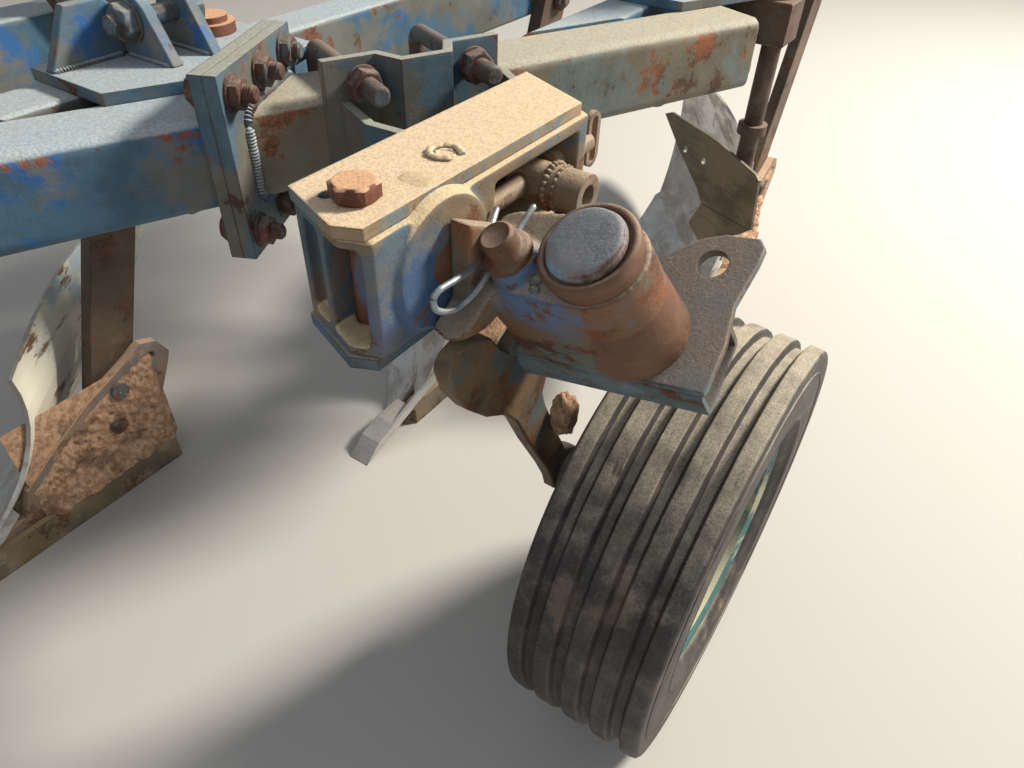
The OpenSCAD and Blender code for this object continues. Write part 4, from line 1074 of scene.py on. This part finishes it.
STEM = BODY[1].at(75, -23, MID_Z)
STEM_R, STEM_END, BLOCK = 19.0, 387, 38
block = [(-137, -BLOCK), (31, -BLOCK), (31, BLOCK), (-137, BLOCK)]
piece("skimmer_clamp", extruded(STEM, block, -BLOCK, BLOCK, 2.5), "body_leg_brown", "frame", "skim_clamp")
piece("skimmer_stem", turned(STEM, [
    (0, -STEM_END), (STEM_R, -STEM_END), (STEM_R, -217), (29, -216), (29, -196), (STEM_R, -195),
    (STEM_R, 195), (29, 196), (29, 216), (STEM_R, 217), (STEM_R, STEM_END), (0, STEM_END)], 40),
    "body_leg_brown", "frame", "skim_stem")
SKIM_BOARD = [(-256, 124), (-233, 135), (-65, 132), (67, 113), (80, 105), (93, -1.7), (-74, -16.7),
              (-100, 10), (-176, 59)]
SKIM_SHARE = [(-74.2, -17.3), (90, -2.6), (60, -30), (-61, -105), (-103, -81)]
skim_parts, skim_holes = [], []
for up in (-1, 1):
    turn = np.diag([1, 1, -up]) @ spin_z(-30)
    face = Place(STEM.origin, turn).at(0, -STEM_R - 0.3, -STEM_END, spin_x(90))
    skim_parts += [extruded(face, outline, 0, 8, 0.8) for outline in (SKIM_BOARD, SKIM_SHARE)]
    skim_holes += [rod(face.at(x, 75, 0), 8, -5, 14, 24) for x in (-162, -95)]
bored(piece("skimmer_plates", together(*skim_parts), "skimmer_steel", "frame", "skim_boards"), *skim_holes)

# %% [markdown]
# Soil dries onto the frogs in a thick crust and cakes beside the wheel's leg. The crust is a height
# over the frog's flat side: a wedge against the landside, broken by noise and sunk below the steel
# where there is none, so its edge is wherever the height crosses zero.

# %% soil


def crust(place, reach, thick, seed, wedge=14.0, low=56):
    """A closed slab over a patch of y and z: its outer face is the wedge's height plus noise, less
    a fall outside the frog's outline, and its back lies 6 mm inside the steel."""
    front_end, rear_end, top_end = reach
    y, z = np.meshgrid(np.linspace(front_end, rear_end, 150), np.linspace(low, top_end, 90), indexing="ij")
    inside = np.clip((np.interp(y, *FROG_TOP) - z) / 16.0, -1, 1)
    ends = np.clip(np.minimum(y - front_end, rear_end - y) / 22.0, 0, 1)
    noise = sum(share * waves(seed + k, y / size, z / size)
                for k, (share, size) in enumerate(((0.6, 23.0), (0.4, 8.0), (0.22, 3.2))))
    height = wedge * np.clip(1 - (z - low) / 46.0, 0, 1) + thick * (0.55 + 0.75 * noise)
    height = np.where(inside < 0, -5.0, height * np.minimum(inside, ends)) - 0.8
    front = np.stack((np.maximum(height, -5.0), y, z), -1)
    back = np.stack((np.full_like(y, -6.0), y, z), -1)
    sheet = np.concatenate((front, back[:, ::-1]), axis=1)
    caps = [np.broadcast_to(end.mean(1, keepdims=True), end.shape) for end in (sheet[:1], sheet[-1:])]
    return skin(place.put(np.concatenate((caps[0], sheet, caps[1]))))


FROG_TOP = ((300, 312, 400, 470, 560, 600, 640), (78, 116, 176, 216, 254, 268, 240))
piece("frog_soil", together(
    crust(BODY[-1].at(-14, 0, 0), (318, 612, 262), 9.0, 21),
    crust(BODY[0].at(-14, 0, 0), (330, 560, 200), 6.0, 41, 10.0),
    crust(BODY[1].at(-14, 0, 0), (318, 600, 262), 9.0, 61)), "caked_soil", "frame", sharp=80)


def clod(place, sizes, seed):
    """An ellipsoid with a noisy surface."""
    s = np.linspace(0, np.pi, 40)
    a = np.linspace(0, 2 * np.pi, 64, endpoint=False)
    x, y = np.outer(np.sin(s), np.cos(a)), np.outer(np.sin(s), np.sin(a))
    z = np.outer(np.cos(s), np.ones(64))
    swell = 1 + 0.16 * waves(seed, 3 * x, 3 * y, 3 * z) + 0.05 * waves(seed + 1, 11 * x, 11 * y, 11 * z)
    return skin(place.put(np.stack((x * sizes[0], y * sizes[1], z * sizes[2]), -1) * swell[..., None]))


piece("wheel_leg_clod", clod(Place((497, 176, 478)), (20, 22, 38), 71), "caked_soil", "swivel", sharp=80)

# %% [markdown]
# The studio: one pale floor, a large soft lamp high behind the right of the view, where the sun
# stood, and a wide weak one from the other side. The world adds an even pale light.

# %% floor and light
REACH = 40.0
floor_mesh = bpy.data.meshes.new("floor")
corners = [(x * REACH, y * REACH, 0) for x, y in ((-1, -1), (1, -1), (1, 1), (-1, 1))]
floor_mesh.from_pydata(corners, [], [range(4)])
floor_mesh.materials.append(Finish("pale_floor").finish(rgb("BEBBB6"), 0.9))
floor = stand("floor", floor_mesh)

AIM_FROM_WHEEL = Vector((-0.3, 0.0, 0.4))
LAMPS = (
    # name, place from the wheel, size, watts, colour
    ("key", (2.3, 4.0, 4.0), 1.2, 680.0, (1.0, 0.93, 0.82)),
    ("fill", (1.6, -4.2, 2.6), 4.0, 30.0, (0.88, 0.94, 1.0)),
)
for name, offset, size, watts, colour in LAMPS:
    lamp_data = bpy.data.lights.new(name, "AREA")
    lamp_data.shape, lamp_data.size, lamp_data.energy, lamp_data.color = "DISK", size, watts, colour
    spot = wheel_centre + Vector(offset)
    aim = (wheel_centre + AIM_FROM_WHEEL - spot).to_track_quat("-Z", "Y")
    stand(name, lamp_data).matrix_world = Matrix.Translation(spot) @ aim.to_matrix().to_4x4()

world = bpy.data.worlds.new("pale_world")
world.use_nodes = True
scene.world = world
sky = world.node_tree.nodes["Background"]
sky.inputs["Color"].default_value = (0.90, 0.94, 1.0, 1)
sky.inputs["Strength"].default_value = 0.34
print("lamps:", [row[0] for row in LAMPS])
